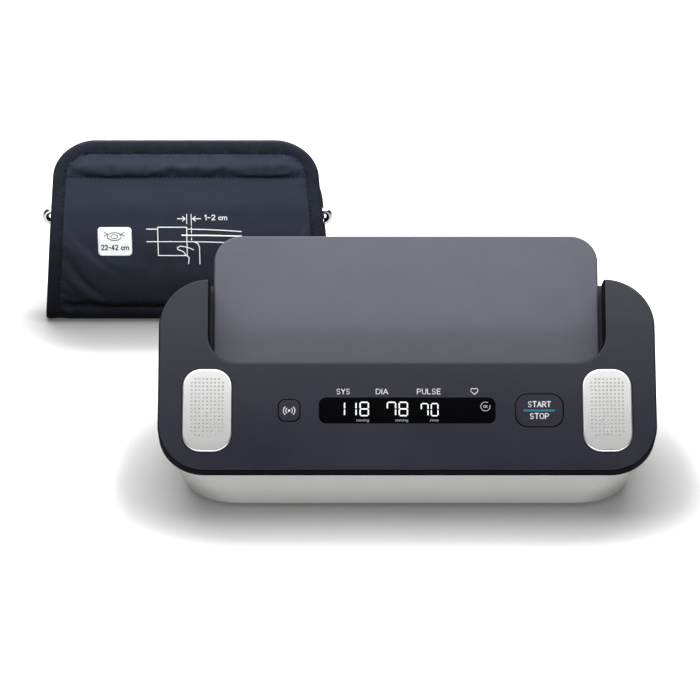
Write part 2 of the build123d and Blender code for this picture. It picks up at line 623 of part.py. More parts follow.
def stand_screw_holes(top, bottom, gap=SCREW_GAP):
    """Holes for the stand's screws between two depths, already placed on the panel."""
    radius = BOARD_SCREW_RADIUS + gap
    holes = [slab(Pos(*spot) * Circle(radius), top, bottom) for spot in stand_screw_spots()]
    return Compound([on_panel(hole) for hole in holes])


def small_screw(x, y, seat, length):
    """A screw through the underside of a sheet that lies at the depth of the seat; it points at the panel."""
    spot = Pos(x, y)
    shank = slab(spot * Circle(BOARD_SCREW_RADIUS), seat - length, seat)
    head = slab(spot * Circle(SMALL_HEAD_RADIUS), seat, seat + SMALL_HEAD_HEIGHT)
    return on_panel(shank + head)


def stand_screws():
    under = POCKET_DEPTH + POCKET_WALL
    length = under - REST_DEPTH - REST_SCREW_COVER - 0.2
    return [small_screw(x, y, under, length) for x, y in stand_screw_spots()]


# ---- boards ----
def main_board():
    shape = patch(BOARD_WIDTH, BOARD_LENGTH, 2.0, (0, BOARD_MIDDLE))
    for spot in board_bosses():
        shape -= Pos(*spot) * Circle(BOARD_SCREW_RADIUS + 3 * SCREW_GAP)
    return on_panel(slab(shape, BOARD_TOP, BOARD_UNDER))


def board_screws():
    """Screws of the main board, into the shell, and of the power board, into the tub."""
    screws = [small_screw(x, y, BOARD_UNDER, BOARD_SCREW_LENGTH) for x, y in board_bosses()]
    for x, y in power_screw_spots():
        shank = disc(BOARD_SCREW_RADIUS, x, y, POWER_TOP - BOARD_SCREW_LENGTH + 1, POWER_TOP)
        screws.append(shank + disc(SMALL_HEAD_RADIUS, x, y, POWER_TOP, POWER_TOP + SMALL_HEAD_HEIGHT))
    return screws


def tact_switches():
    switches = []
    for x in (START_X, LINK_X):
        body = patch(SWITCH_SIZE, SWITCH_SIZE, 0.4, (x, CONTROL_LINE))
        top = BOARD_TOP - SWITCH_HEIGHT
        plunger = slab(Pos(x, CONTROL_LINE) * Circle(1.7), STEM_END + BUTTON_TRAVEL + 0.05, top)
        switches.append(on_panel(slab(body, top, BOARD_TOP) + plunger))
    return switches


def board_components():
    """Processor, radio module, buzzer, pressure sensor and a row of capacitors under the main board."""
    under, middle = BOARD_UNDER, BOARD_MIDDLE
    found = [slab(patch(w, h, 0.4, (x, middle)), under, under + t) for x, w, h, t in CHIPS]
    found.append(slab(Pos(58, middle) * Circle(5.0), under, under + 3.0))
    for i in range(5):
        found.append(slab(Pos(-12 - 4.5 * i, middle + 10) * Circle(1.6), under, under + 2.4))
    return [on_panel(component) for component in found]


def power_board():
    x, y = POWER_RIGHT - POWER_BOARD_WIDTH, POWER_REAR - POWER_BOARD_LENGTH
    board = block(x, y, POWER_BOARD_Z, POWER_RIGHT, POWER_REAR, POWER_TOP)
    for spot in power_screw_spots():
        board -= disc(BOARD_SCREW_RADIUS + 3 * SCREW_GAP, *spot, POWER_BOARD_Z - 1, POWER_TOP + 1)
    return board


def power_components():
    """Reservoir capacitors, an inductor and a regulator on the power board."""
    top = POWER_TOP
    x, y = POWER_RIGHT - POWER_BOARD_WIDTH, POWER_REAR - POWER_BOARD_LENGTH
    cans = [disc(4.0, x + 14 + 10 * i, y + 12, top, top + 11.0) for i in range(3)]
    coil = disc(5.5, x + 14, y + 28, top, top + 6.0)
    chip = block(x + 26, y + 22, top, x + 38, y + 32, top + 3.0)
    return [*cans, coil, chip]


# ---- batteries ----
def batteries():
    cells = []
    front = CELL_FRONT + NUB_LENGTH
    rear = front + CELL_LENGTH
    for i, x in enumerate(CELL_XS):
        body = tube_along_y(CELL_RADIUS, front, rear, x, CELL_Z)
        body = fillet(body.edges().filter_by(GeomType.CIRCLE), 0.6)
        nub_y = CELL_FRONT if i % 2 == 1 else rear
        cells.append(body + tube_along_y(NUB_RADIUS, nub_y, nub_y + NUB_LENGTH, x, CELL_Z))
    return cells


def battery_contacts():
    """Spring and plate contacts at both ends of the bay, in steel strip and wire."""
    low, high = CELL_Z - CONTACT_HEIGHT / 2, CELL_Z + CONTACT_HEIGHT / 2
    half = CELL_PITCH / 2 - 1.2
    pieces = []
    for i, x in enumerate(CELL_XS):
        plate = block(x - half, BAY_FRONT, low, x + half, BAY_FRONT + CONTACT_THICKNESS, high)
        pieces.append(plate + contact_finger(x, BAY_FRONT, i % 2 == 1))
    half = CELL_PITCH - 1.0
    for pair in range(CELL_COUNT // 2):
        x = (CELL_XS[2 * pair] + CELL_XS[2 * pair + 1]) / 2
        pieces.append(block(x - half, BAY_REAR - CONTACT_THICKNESS, low, x + half, BAY_REAR, high))
    return pieces


def contact_finger(x, front, nub_front):
    """A bossed plate for a positive end, or a coil spring as stacked rings on a core for a negative end."""
    if nub_front:
        return tube_along_y(3.6, front, CELL_FRONT, x, CELL_Z)
    spring = tube_along_y(1.2, front, CELL_FRONT + NUB_LENGTH, x, CELL_Z)
    for turn in range(SPRING_TURNS):
        radius = SPRING_RADIUS - SPRING_TAPER * turn
        ring = Cylinder(radius, SPRING_WIRE) - Cylinder(radius - 2 * SPRING_WIRE, 2)
        place = Pos(x, front + 1.1 + SPRING_PITCH * turn, CELL_Z)
        spring += place * Rot(90, 0, 0) * ring
        spring += place * Box(2 * radius - 0.4, 0.7, SPRING_WIRE)
    return spring


# ---- air system ----
def air_jack():
    """Socket for the cuff's air plug: flange outside, blind bore, hose nipple inside."""
    end = JACK_INNER_X + NIPPLE_LENGTH
    body = tube_along_x(JACK_BODY_RADIUS, JACK_FACE_X, JACK_INNER_X, JACK_Y, JACK_Z)
    body += tube_along_x(JACK_FLANGE_RADIUS, JACK_FACE_X, JACK_SEAT_X, JACK_Y, JACK_Z)
    body += tube_along_x(NIPPLE_RADIUS, JACK_INNER_X, end, JACK_Y, JACK_Z)
    body -= tube_along_x(JACK_BORE, JACK_FACE_X, JACK_FACE_X + JACK_BORE_LENGTH, JACK_Y, JACK_Z)
    return body - tube_along_x(NIPPLE_RADIUS / 2, JACK_FACE_X, end, JACK_Y, JACK_Z)


def air_pump():
    """Motor can with a square pump head and two nozzles."""
    motor = tube_along_x(MOTOR_RADIUS, MOTOR_X, HEAD_X, PUMP_Y, PUMP_Z)
    half = HEAD_SIZE / 2
    head = block(HEAD_X, PUMP_Y - half, PUMP_Z - half, HEAD_X + HEAD_LENGTH, PUMP_Y + half, PUMP_Z + half)
    head = fillet(head.edges().filter_by(Axis.X), 4.0)
    front = tube_along_y(NIPPLE_RADIUS, PUMP_Y - half - NIPPLE_LENGTH, PUMP_Y, OUTLET_X, JACK_Z)
    top = disc(NIPPLE_RADIUS, OUTLET_X, PUMP_Y, PUMP_Z, HEAD_TOP + VALVE_HOSE_LENGTH / 2)
    return motor + head + front + top


def pump_sleeve():
    """Rubber sleeve that keeps the motor's shake out of the tub."""
    outer = tube_along_x(MOTOR_RADIUS + SLEEVE_THICKNESS, MOTOR_X + 3, HEAD_X - 3, PUMP_Y, PUMP_Z)
    return outer - tube_along_x(MOTOR_RADIUS, MOTOR_X, HEAD_X, PUMP_Y, PUMP_Z)


def jack_hose():
    """From the air jack to the pump head, round one wide bend; it fits over both nipples."""
    pump_face = PUMP_Y - HEAD_SIZE / 2
    points = [(JACK_INNER_X, JACK_Y, JACK_Z), (OUTLET_X, JACK_Y, JACK_Z), (OUTLET_X, pump_face, JACK_Z)]
    bend = min(HOSE_BEND, HOSE_BEND_SHARE * (pump_face - JACK_Y))
    path = FilletPolyline(*points, radius=bend)
    start = Plane(origin=path @ 0, z_dir=path % 0)
    return sweep(start * (Circle(HOSE_RADIUS) - Circle(NIPPLE_RADIUS)), path=path)


def valve_hose():
    top = HEAD_TOP + VALVE_HOSE_LENGTH
    outer = disc(HOSE_RADIUS, OUTLET_X, PUMP_Y, HEAD_TOP, top)
    return outer - disc(NIPPLE_RADIUS, OUTLET_X, PUMP_Y, HEAD_TOP, top)


def release_valve():
    """Solenoid valve on its hose above the pump head."""
    low = HEAD_TOP + VALVE_HOSE_LENGTH
    half = VALVE_SIZE / 2
    body = block(OUTLET_X - half, PUMP_Y - half, low, OUTLET_X + half, PUMP_Y + half, low + VALVE_HEIGHT)
    body = fillet(body.edges().filter_by(Axis.Z), 1.5)
    return body + disc(NIPPLE_RADIUS, OUTLET_X, PUMP_Y, low - VALVE_HOSE_LENGTH / 2 + 0.5, low)


def adapter_socket():
    """Barrel socket for a mains adapter, standing on the power board."""
    rear, x = FOOT_REAR - 1.8, SOCKET_X
    body = block(x - 5.5, rear - 20, POWER_TOP, x + 5.5, rear - 11, SOCKET_Z + 6)
    body += tube_along_y(SOCKET_RADIUS, rear - 12, rear, x, SOCKET_Z)
    body -= tube_along_y(SOCKET_BORE, rear - SOCKET_DEPTH, rear + 1, x, SOCKET_Z)
    return body + tube_along_y(SOCKET_PIN, rear - SOCKET_DEPTH - 1, rear - 0.8, x, SOCKET_Z)


def housing_screws():
    screws = []
    for x, y in housing_boss_spots():
        seat = parting_height(y) - SCREW_SEAT
        shank = disc(SCREW_RADIUS, x, y, seat, seat + SCREW_LENGTH)
        head = disc(SCREW_HEAD_RADIUS, x, y, seat - SCREW_HEAD_HEIGHT, seat)
        cross = Pos(x, y, seat - SCREW_HEAD_HEIGHT) * (Box(3.2, 0.8, 1.6) + Box(0.8, 3.2, 1.6))
        screws.append(shank + head - cross)
    return screws


# ---- cuff ----
def roll_path(offset, start_run=0, end_run=8):
    """Points of the flattened spiral, offset sideways from its middle line, as a list of edges.

    Runs and turns alternate from the ring at the middle to the free end at the front:
    0 up, 1 turn over, 2 down, 3 turn under, 4 up, 5 turn over, 6 down, 7 turn under, 8 up.
    """
    pitch = CUFF_LAYER_PITCH
    low, high = ROLL_FOOT_Z, ROLL_TOP_Z
    runs = {0: (0.0, 1), 2: (pitch, -1), 4: (-pitch, 1), 6: (2 * pitch, -1), 8: (-2 * pitch, 1)}
    turns = {1: (pitch / 2, high), 3: (0.0, low), 5: (pitch / 2, high), 7: (0.0, low)}
    edges = []
    for piece in range(start_run, end_run + 1):
        if piece in runs:
            y, way = runs[piece]
            y -= way * offset
            z0, z1 = (low, high) if way > 0 else (high, low)
            if piece == 0:
                z0 = HEM_TOP
            if piece == 8:
                z1 = CUFF_HEIGHT
            edges.append(((y, z0), None, (y, z1)))
        else:
            centre_y, centre_z = turns[piece]
            before, way = runs[piece - 1]
            start_y = before - way * offset
            end_y = 2 * centre_y - start_y
            top = centre_z + way * abs(start_y - centre_y)
            edges.append(((start_y, centre_z), (centre_y, top), (end_y, centre_z)))
    return edges


def ribbon(inner, outer, **span):
    """One layer of the rolled strip between two offsets, as wide as the cuff."""

    def curve(points):
        a, middle, b = points
        return Line(a, b) if middle is None else ThreePointArc(a, middle, b)

    first, second = roll_path(inner, **span), roll_path(outer, **span)
    edges = [curve(p) for p in first] + [curve(p) for p in second]
    edges += [Line(first[0][0], second[0][0]), Line(first[-1][2], second[-1][2])]
    face = make_face(edges)
    side = Plane(origin=(CUFF_LEFT, CUFF_Y, 0), x_dir=(0, 1, 0), z_dir=(1, 0, 0))
    return extrude(side * face, amount=CUFF_WIDTH) & cuff_taper()


def cuff_half_width(z):
    """Half of the cuff's width at a height."""
    return CUFF_WIDTH / 2 - CUFF_TAPER * z / CUFF_HEIGHT


def cuff_taper():
    """Block that narrows the roll towards its top."""
    low, high = cuff_half_width(0), cuff_half_width(CUFF_HEIGHT)
    front = Plane(origin=(CUFF_X, CUFF_BACK, 0), x_dir=(1, 0, 0), z_dir=(0, -1, 0))
    corners = [(-low, 0), (low, 0), (high, CUFF_HEIGHT), (-high, CUFF_HEIGHT)]
    return extrude(front * make_face(Polyline(*corners, close=True)), amount=CUFF_BACK - CUFF_BEHIND)


def round_free_end(strip):
    """Rounds the two corners of the strip's free end at the front."""
    edges = strip.edges().filter_by(Axis.Y).group_by(Axis.Z)[-1]
    return fillet(edges, CUFF_CORNER)


def cuff_outer_cloth():
    return round_free_end(ribbon(BLADDER / 2, STRIP / 2))


def cuff_inner_cloth():
    return round_free_end(ribbon(-STRIP / 2, -BLADDER / 2))


def cuff_bladder():
    """Air bladder, in the part of the strip that lies on the artery."""
    return ribbon(-BLADDER / 2, BLADDER / 2, start_run=0, end_run=5)


def cuff_tail_lining():
    """Loop-pile lining of the tail, from the last fold to the free end."""
    return round_free_end(ribbon(-BLADDER / 2, BLADDER / 2, start_run=6, end_run=8))


def flap_outline(inset, low):
    """Face of the free end in front view, from a height up, inset by the binding or not."""
    bottom, top = cuff_half_width(low) - inset, cuff_half_width(CUFF_HEIGHT) - inset
    high = CUFF_HEIGHT - inset
    face = make_face(Polyline((-bottom, low), (bottom, low), (top, high), (-top, high), close=True))
    return fillet(face.vertices().group_by(Axis.Y)[-1], CUFF_CORNER - inset)


def cuff_binding():
    """Tape sewn over the free end's edges, as a frame on its face."""
    low = CUFF_HEIGHT - BINDING_LENGTH
    front = Plane(origin=(CUFF_X, CUFF_BEHIND, 0), x_dir=(1, 0, 0), z_dir=(0, -1, 0))
    frame = flap_outline(0, low) - flap_outline(BINDING_WIDTH, low)
    return extrude(front * frame, amount=BINDING_THICKNESS)


def cuff_hook_patch():
    """Hook tape behind the free end; it holds the roll closed."""
    y, high = CUFF_BEHIND + STRIP, CUFF_HEIGHT - HOOK_TOP_INSET
    half = HOOK_WIDTH / 2
    return block(CUFF_X - half, y, high - HOOK_LENGTH, CUFF_X + half, y + HOOK_THICKNESS, high)


def cuff_ring():
    """Steel wire ring: a long narrow loop that lies across the cuff."""
    bend = RING_HEIGHT / 2 - RING_WIRE
    straight = RING_WIDTH - RING_HEIGHT
    plane = Plane(origin=(CUFF_X, CUFF_Y, RING_Z), x_dir=(1, 0, 0), z_dir=(0, -1, 0))
    path = plane * SlotCenterToCenter(straight, 2 * bend).face().outer_wire()
    start = Plane(origin=path @ 0, z_dir=path % 0)
    return sweep(start * Circle(RING_WIRE), path=path)


def ring_hem():
    """Sewn loop that holds the ring's upper wire and joins it to the strip."""
    half = HEM_LENGTH / 2
    tube = tube_along_x(HEM_BORE + HEM_WALL, CUFF_X - half, CUFF_X + half, CUFF_Y, HEM_Z)
    neck = block(CUFF_X - half, CUFF_Y - HEM_NECK, HEM_Z, CUFF_X + half, CUFF_Y + HEM_NECK, HEM_TOP)
    return tube + neck - tube_along_x(HEM_BORE, CUFF_X - RING_WIDTH, CUFF_X + RING_WIDTH, CUFF_Y, HEM_Z)


def cuff_air_port():
    """Nipple plate on the cuff's back, where an air hose plugs on."""
    x, end = CUFF_X + PORT_SIDE, CUFF_BACK + PORT_LENGTH
    plate = tube_along_y(PORT_RADIUS, CUFF_BACK, CUFF_BACK + 1.5, x, PORT_Z)
    nipple = tube_along_y(PORT_BORE + 0.9, CUFF_BACK + 1.5, end, x, PORT_Z)
    return plate + nipple - tube_along_y(PORT_BORE, CUFF_BACK + 0.6, end, x, PORT_Z)


def parts():
    """Every node of the set, by name."""
    left, right = PAD_CENTRES
    return {
        "top_shell": top_shell(),
        "base_tub": base_tub(),
        "start_button": button(START_WIDTH, START_LENGTH, START_CORNER, START_X),
        "link_button": button(LINK_WIDTH, LINK_LENGTH, LINK_CORNER, LINK_X),
        "display_window": display_window(),
        "display_module": display_module(),
        "left_electrode": electrode(left),
        "right_electrode": electrode(right),
        "electrode_contacts": electrode_contacts(),
        "phone_back_rest": phone_back_rest(),
        "stand_brace": stand_brace(),
        "stand_screws": stand_screws(),
        "main_board": main_board(),
        "board_screws": board_screws(),
        "board_components": board_components(),
        "tact_switches": tact_switches(),
        "power_board": power_board(),
        "power_components": power_components(),
        "adapter_socket": adapter_socket(),
        "battery_door": battery_door(),
        "batteries": batteries(),
        "battery_contacts": battery_contacts(),
        "air_jack": air_jack(),
        "air_pump": air_pump(),
        "pump_sleeve": pump_sleeve(),
        "jack_hose": jack_hose(),
        "valve_hose": valve_hose(),
        "release_valve": release_valve(),
        "housing_screws": housing_screws(),
        "rubber_feet": rubber_feet(),
        "cuff_outer_cloth": cuff_outer_cloth(),
        "cuff_inner_cloth": cuff_inner_cloth(),
        "cuff_bladder": cuff_bladder(),
        "cuff_tail_lining": cuff_tail_lining(),
        "cuff_binding": cuff_binding(),
        "cuff_hook_patch": cuff_hook_patch(),
        "cuff_ring": cuff_ring(),
        "ring_hem": ring_hem(),
        "cuff_air_port": cuff_air_port(),
    }


def main():
    os.makedirs("parts", exist_ok=True)
    nodes = {name: Compound(shape if isinstance(shape, list) else [shape]) for name, shape in parts().items()}
    footprint = Compound(list(nodes.values())).bounding_box()
    to_origin = Pos(-footprint.center().X, -footprint.center().Y, -footprint.min.Z)
    for name, node in nodes.items():
        export_step(to_origin * node, f"parts/{name}.step")


if __name__ == "__main__":
    main()
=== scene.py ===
"""Looks of the table-top blood pressure monitor and its rolled arm cuff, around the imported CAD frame.

Lengths are metres in the row frame. Sizes that belong to the object are written in millimetres, times MM.
"""

import json
from math import cos, exp, hypot, pi, radians, sin, sqrt

import bmesh
import bpy
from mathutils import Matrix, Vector, noise
from mathutils.bvhtree import BVHTree

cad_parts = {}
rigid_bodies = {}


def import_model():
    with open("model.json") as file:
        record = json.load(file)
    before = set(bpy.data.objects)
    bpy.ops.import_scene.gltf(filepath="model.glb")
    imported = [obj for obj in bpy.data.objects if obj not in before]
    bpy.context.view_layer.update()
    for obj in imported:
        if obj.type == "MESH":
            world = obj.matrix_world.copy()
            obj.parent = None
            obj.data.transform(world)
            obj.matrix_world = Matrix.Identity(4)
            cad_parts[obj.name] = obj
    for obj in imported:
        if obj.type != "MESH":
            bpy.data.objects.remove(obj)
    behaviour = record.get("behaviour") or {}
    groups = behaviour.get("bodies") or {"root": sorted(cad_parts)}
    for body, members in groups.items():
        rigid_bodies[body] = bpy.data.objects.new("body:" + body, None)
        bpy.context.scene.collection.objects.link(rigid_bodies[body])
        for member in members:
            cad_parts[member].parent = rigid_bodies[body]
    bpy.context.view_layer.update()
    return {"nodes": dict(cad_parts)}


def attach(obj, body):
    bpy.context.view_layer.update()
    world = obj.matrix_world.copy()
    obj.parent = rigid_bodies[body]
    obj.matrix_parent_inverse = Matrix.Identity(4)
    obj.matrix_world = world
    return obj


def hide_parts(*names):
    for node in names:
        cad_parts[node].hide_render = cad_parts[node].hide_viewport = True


MM = 0.001
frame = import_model()
NODES = frame["nodes"]
SCENE = bpy.context.scene

# The monitor's own frame, as in its CAD source: y = 0 under the panel's front edge, x = 0 in the middle.
ORIGIN = Vector((32.15, -112.6657, 0.0)) * MM
SLOPE = radians(45)
PANEL_FRONT_HEIGHT = 27.0
PANEL_NORMAL = (0, -sin(SLOPE), cos(SLOPE))


# ---- camera, lamps ----
SENSOR_WIDTH, LENS = 36.0, 207.46
CAMERA_PLACE = (0.006322, -1.702699, 0.897658)
LOOK_DOWN = 27  # degrees below level
# Each lamp's place, what it points at, its two sides and its power in watts.
LAMPS = {
    "top": ((0.0, 0.05, 0.42), (0, 0.05, 0), (0.72, 0.6), 3.0),
    "back": ((0.0, 1.0, 0.7), (0, 0, 0.05), (2.0, 0.6), 8.0),
    "front": ((0.0, -0.36, 0.04), (0, 0, 0.03), (0.8, 0.05), 0.7),
    "key": ((-0.07, -0.27, 0.56), (-0.0735, 0.085, 0.05), (0.4, 0.12), 5.0),
}


def show(data, place, turn):
    """Puts a camera or a lamp in the scene."""
    item = bpy.data.objects.new(data.name, data)
    item.location, item.rotation_euler = place, turn
    SCENE.collection.objects.link(item)
    return item


def make_camera():
    data = bpy.data.cameras.new("camera")
    data.sensor_width, data.lens = SENSOR_WIDTH, LENS
    SCENE.camera = show(data, CAMERA_PLACE, (radians(90 - LOOK_DOWN), 0, 0))


def area_light(name):
    place, target, sides, power = LAMPS[name]
    data = bpy.data.lights.new(name, "AREA")
    data.shape, data.energy = "RECTANGLE", power
    data.size, data.size_y = sides
    light = show(data, place, (Vector(target) - Vector(place)).to_track_quat("-Z", "Y").to_euler())
    light.visible_camera = False
    return light


# ---- materials ----
def tone(red, green, blue):
    """A display colour, 0 to 255, as the linear colour that a shader takes."""
    linear = [c / 255 / 12.92 if c <= 10 else ((c / 255 + 0.055) / 1.055) ** 2.4 for c in (red, green, blue)]
    return (*linear, 1.0)


def scaled(colour, share):
    """The colour, darker or lighter by a share."""
    return [min(1, c * share) for c in colour[:3]] + [1]


class Nodes:
    """A node tree that is put together one node at a time."""

    def __init__(self, tree):
        self.tree = tree

    def put(self, socket, value):
        if isinstance(value, bpy.types.Node):
            value = value.outputs[0]
        if isinstance(value, bpy.types.NodeSocket):
            self.tree.links.new(value, socket)
        else:
            socket.default_value = value

    def add(self, kind, *inputs, named=None, **settings):
        """Adds a node; inputs go to its sockets in order (None leaves one as it is) or by name."""
        node = self.tree.nodes.new("ShaderNode" + kind)
        for key, value in settings.items():
            setattr(node, key, value)
        for socket, value in zip(node.inputs, inputs):
            if value is not None:
                self.put(socket, value)
        for key, value in (named or {}).items():
            self.put(node.inputs[key], value)
        return node

    def math(self, operation, *inputs):
        return self.add("Math", *inputs, operation=operation).outputs[0]

    def span(self, value, low, high, to_low=0.0, to_high=1.0):
        """The value, from the range low to high, as it lies in the range to_low to to_high."""
        return self.add("MapRange", value, low, high, to_low, to_high).outputs[0]


class Shader(Nodes):
    """A node material."""

    def __init__(self, name, **surface):
        self.material = bpy.data.materials.new(name)
        self.material.use_nodes = True
        super().__init__(self.material.node_tree)
        self.surface = self.tree.nodes["Principled BSDF"]
        self.place = self.add("TexCoord").outputs["Object"]
        for key, value in surface.items():
            self.put(self.surface.inputs[key.replace("_", " ")], value)

    def noise(self, size, detail=3.0, stretch=(1, 1, 1), where=None):
        """Noise of a feature size in metres, longer along an axis by its stretch."""
        scale = [1 / (size * s) for s in stretch]
        place = self.add("Mapping", where or self.place, named={"Scale": scale})
        return self.add("TexNoise", named={"Vector": place, "Scale": 1.0, "Detail": detail}).outputs["Fac"]

    def blend(self, factor, first, second):
        node = self.add("Mix", data_type="RGBA")
        self.put(node.inputs["Factor"], factor)
        self.put(node.inputs[6], first)
        self.put(node.inputs[7], second)
        return node.outputs[2]

    def shades(self, factor, colour, spread):
        """The colour, a little darker to a little lighter as the factor goes from 0.3 to 0.7."""
        dark, light = scaled(colour, 1 - spread), scaled(colour, 1 + spread)
        return self.blend(self.span(factor, 0.3, 0.7), dark, light)

    def bump(self, height, distance, strength=1.0, under=None):
        node = self.add("Bump", named={"Strength": strength, "Distance": distance, "Height": height})
        if under is not None:
            self.put(node.inputs["Normal"], under)
        return node.outputs[0]

    def open_sky(self, reach, samples=12, **settings):
        """1 in the open, less in hollows and near what is within a reach in millimetres."""
        named = {"Distance": reach * MM}
        return self.add("AmbientOcclusion", named=named, samples=samples, **settings).outputs["AO"]

    def with_painted_shade(self, base, reach, depth):
        """The colour with painted shade: darker in hollows and near whatever is within reach."""
        dark = self.span(self.open_sky(reach), 0.95, 0.3, 0.0, depth)
        return self.blend(dark, base, (0.001, 0.001, 0.002, 1))

    def coat(self, colour, rough, normal=None):
        """Gives the surface its colour, roughness and normal, and returns the material."""
        for key, value in (("Base Color", colour), ("Roughness", rough), ("Normal", normal)):
            if value is not None:
                self.put(self.surface.inputs[key], value)
        return self.material

    def match(self, first, second):
        """1 where two directions are the same, 0 where they are square."""
        return self.add("VectorMath", first, second, operation="DOT_PRODUCT").outputs["Value"]

    def edges(self, radius):
        """1 on convex and concave edges of about that radius, 0 on flat faces."""
        soft = self.add("Bevel", radius, samples=4)
        return self.span(self.match(soft, self.add("NewGeometry").outputs["Normal"]), 1.0, 0.9)


# How near a thing or a wall has to be for painted shade on a surface, in millimetres, and how dark the
# painted shade on cloth gets.
FOOT_REACH, PIT_REACH, CLOTH_REACH = 14, 0.9, 70
CLOTH_SHADE = 1.15


def moulded(name, colour, rough, grain=0.35, depth=0.012, spread=0.06, worn=None, level=0.5, rim=None,
            foot_shade=0.0):
    """Moulded plastic: a fine texture, cloudy colour and gloss, and with a worn colour, rubbed edges.

    The foot argument paints shade on it close to what it stands on. With a rim colour, faces that don't look
    out of the control panel are that colour and duller: partly a darker rim plastic, partly painted shade in
    gaps and along edges.
    """
    s = Shader(name, Specular_IOR_Level=level)
    cloud = s.noise(14 * MM)
    base = s.shades(cloud, colour, spread)
    speck = s.noise(grain * MM, 2)
    lighter = [min(1, c * 1.9 + 0.004) for c in colour[:3]] + [1]
    base = s.blend(s.span(speck, 0.35, 0.75, 0, 0.16), base, lighter)
    if worn:
        rub = s.math("MULTIPLY", s.edges(0.5 * MM), s.span(s.noise(5 * MM, 4), 0.4, 0.65, 0.1, 1))
        base = s.blend(s.math("MULTIPLY", rub, 0.6), base, worn)
    smudge = s.span(s.noise(30 * MM, 5), 0.35, 0.7, rough - 0.05, rough + 0.06)
    if rim:
        # Painted shade, partly real: faces turned from the panel, the button gaps and the edge's rounding get
        # the dark rim colour, which is also the rim's own darker plastic.
        facing = s.match(s.add("NewGeometry").outputs["Normal"], PANEL_NORMAL)
        base = s.blend(s.span(facing, 0.985, 0.93), base, rim)
        side = s.span(facing, 0.9, 0.72)
        smudge = s.math("MAXIMUM", smudge, s.math("MULTIPLY", side, 0.95))
        s.put(s.surface.inputs["Specular IOR Level"], s.span(side, 0.0, 1.0, level, 0.08))
    # Painted shade near what the piece stands on.
    if foot_shade:
        base = s.with_painted_shade(base, FOOT_REACH, foot_shade)
    return s.coat(base, smudge, s.bump(speck, depth * MM))


def metal(name, colour, rough, brush=(1, 1, 1), depth=0.004, spread=0.05, metallic=1.0, vary=0.05, pit_shade=0.0,
          rim=1.0):
    """Metal with a fine directional finish; pits paints shade into small hollows, rim is its tint at grazing
    angles.
    """
    s = Shader(name, Metallic=metallic, Specular_Tint=(rim, rim, rim, 1))
    line = s.noise(0.25 * MM, 3, brush)
    base = s.shades(s.noise(9 * MM), colour, spread)
    if pit_shade:
        # Painted shade in the electrode's dimples.
        painted_pit_shade = s.span(s.open_sky(PIT_REACH, samples=16, only_local=True), 0.97, 0.6, 0.0, pit_shade)
        base = s.blend(painted_pit_shade, base, scaled(colour, 0.12))
    return s.coat(base, s.span(line, 0.3, 0.7, rough - vary, rough + vary), s.bump(line, depth * MM))


def ink(name, colour, glow=0.0):
    """Printing ink, slightly uneven; with some glow it is a lit display segment."""
    s = Shader(name)
    base = s.shades(s.noise(0.6 * MM), colour, 0.04)
    if glow:
        s.put(s.surface.inputs["Emission Color"], base)
        s.put(s.surface.inputs["Emission Strength"], glow)
    return s.coat(base, 0.45, s.bump(s.noise(0.2 * MM), 0.003 * MM))


def lens_material():
    """Smoked lens with faint streaks in its gloss."""
    s = Shader("window_lens", Specular_IOR_Level=0.07)
    streaks = s.noise(2 * MM, 4, (6, 1, 1))
    return s.coat(s.shades(s.noise(20 * MM), tone(6, 6, 8), 0.1), s.span(streaks, 0.3, 0.7, 0.14, 0.2))


def woven(name, colour, thread, spread=0.12, rough=0.72, sheen=0.04, depth=0.06):
    """Plain weave in the sheet's own coordinates, with slubs and faint streaks along the threads."""
    s = Shader(name, Specular_IOR_Level=0.06, Sheen_Weight=sheen, Sheen_Roughness=0.4)
    uv = s.add("TexCoord").outputs["UV"]
    along = s.add("SeparateXYZ", uv).outputs
    turns = 2 * pi / (thread * MM)
    warp = s.math("SINE", s.math("MULTIPLY", along["X"], turns))
    weft = s.math("SINE", s.math("MULTIPLY", along["Y"], turns))
    knit = s.math("MULTIPLY", warp, weft)
    streak = s.math("ADD", s.noise(0.8 * MM, 2, (1, 30, 1), uv), s.noise(0.8 * MM, 2, (30, 1, 1), uv))
    cloud = s.noise(22 * MM, 4)
    base = s.shades(s.math("MULTIPLY", s.math("ADD", streak, cloud), 0.333), colour, spread)
    base = s.blend(s.span(knit, -1, 1, 0.0, 0.3), base, scaled(colour, 0.45))
    gloss = s.span(streak, 0.6, 1.4, rough - 0.08, rough + 0.08)
    normal = s.bump(s.noise(2.2 * MM, 3), 0.05 * MM, under=s.bump(knit, depth * MM))
    # Painted shade: the cloth is darker near the table, inside the roll and in its folds.
    return s.coat(s.with_painted_shade(base, CLOTH_REACH, CLOTH_SHADE), gloss, normal)


def ribbed(name, colour):
    """Binding tape: fine ribs across it, in the tape's own coordinates."""
    s = Shader(name, Specular_IOR_Level=0.06, Sheen_Weight=0.04, Sheen_Roughness=0.4)
    along = s.add("SeparateXYZ", s.add("TexCoord").outputs["UV"]).outputs
    rib = s.math("SINE", s.math("MULTIPLY", along["X"], 2 * pi / (0.75 * MM)))
    cross = s.math("SINE", s.math("MULTIPLY", along["Y"], 2 * pi / (0.5 * MM)))
    knit = s.math("ADD", rib, s.math("MULTIPLY", cross, 0.4))
    base = s.shades(s.noise(6 * MM, 4), colour, 0.15)
    base = s.blend(s.span(knit, -1.2, 1.2, 0.35, 0), base, scaled(colour, 0.4))
    # Painted shade: the tape is darker near the table, inside the roll and in its folds.
    return s.coat(s.with_painted_shade(base, CLOTH_REACH, CLOTH_SHADE), 0.8, s.bump(knit, 0.05 * MM))


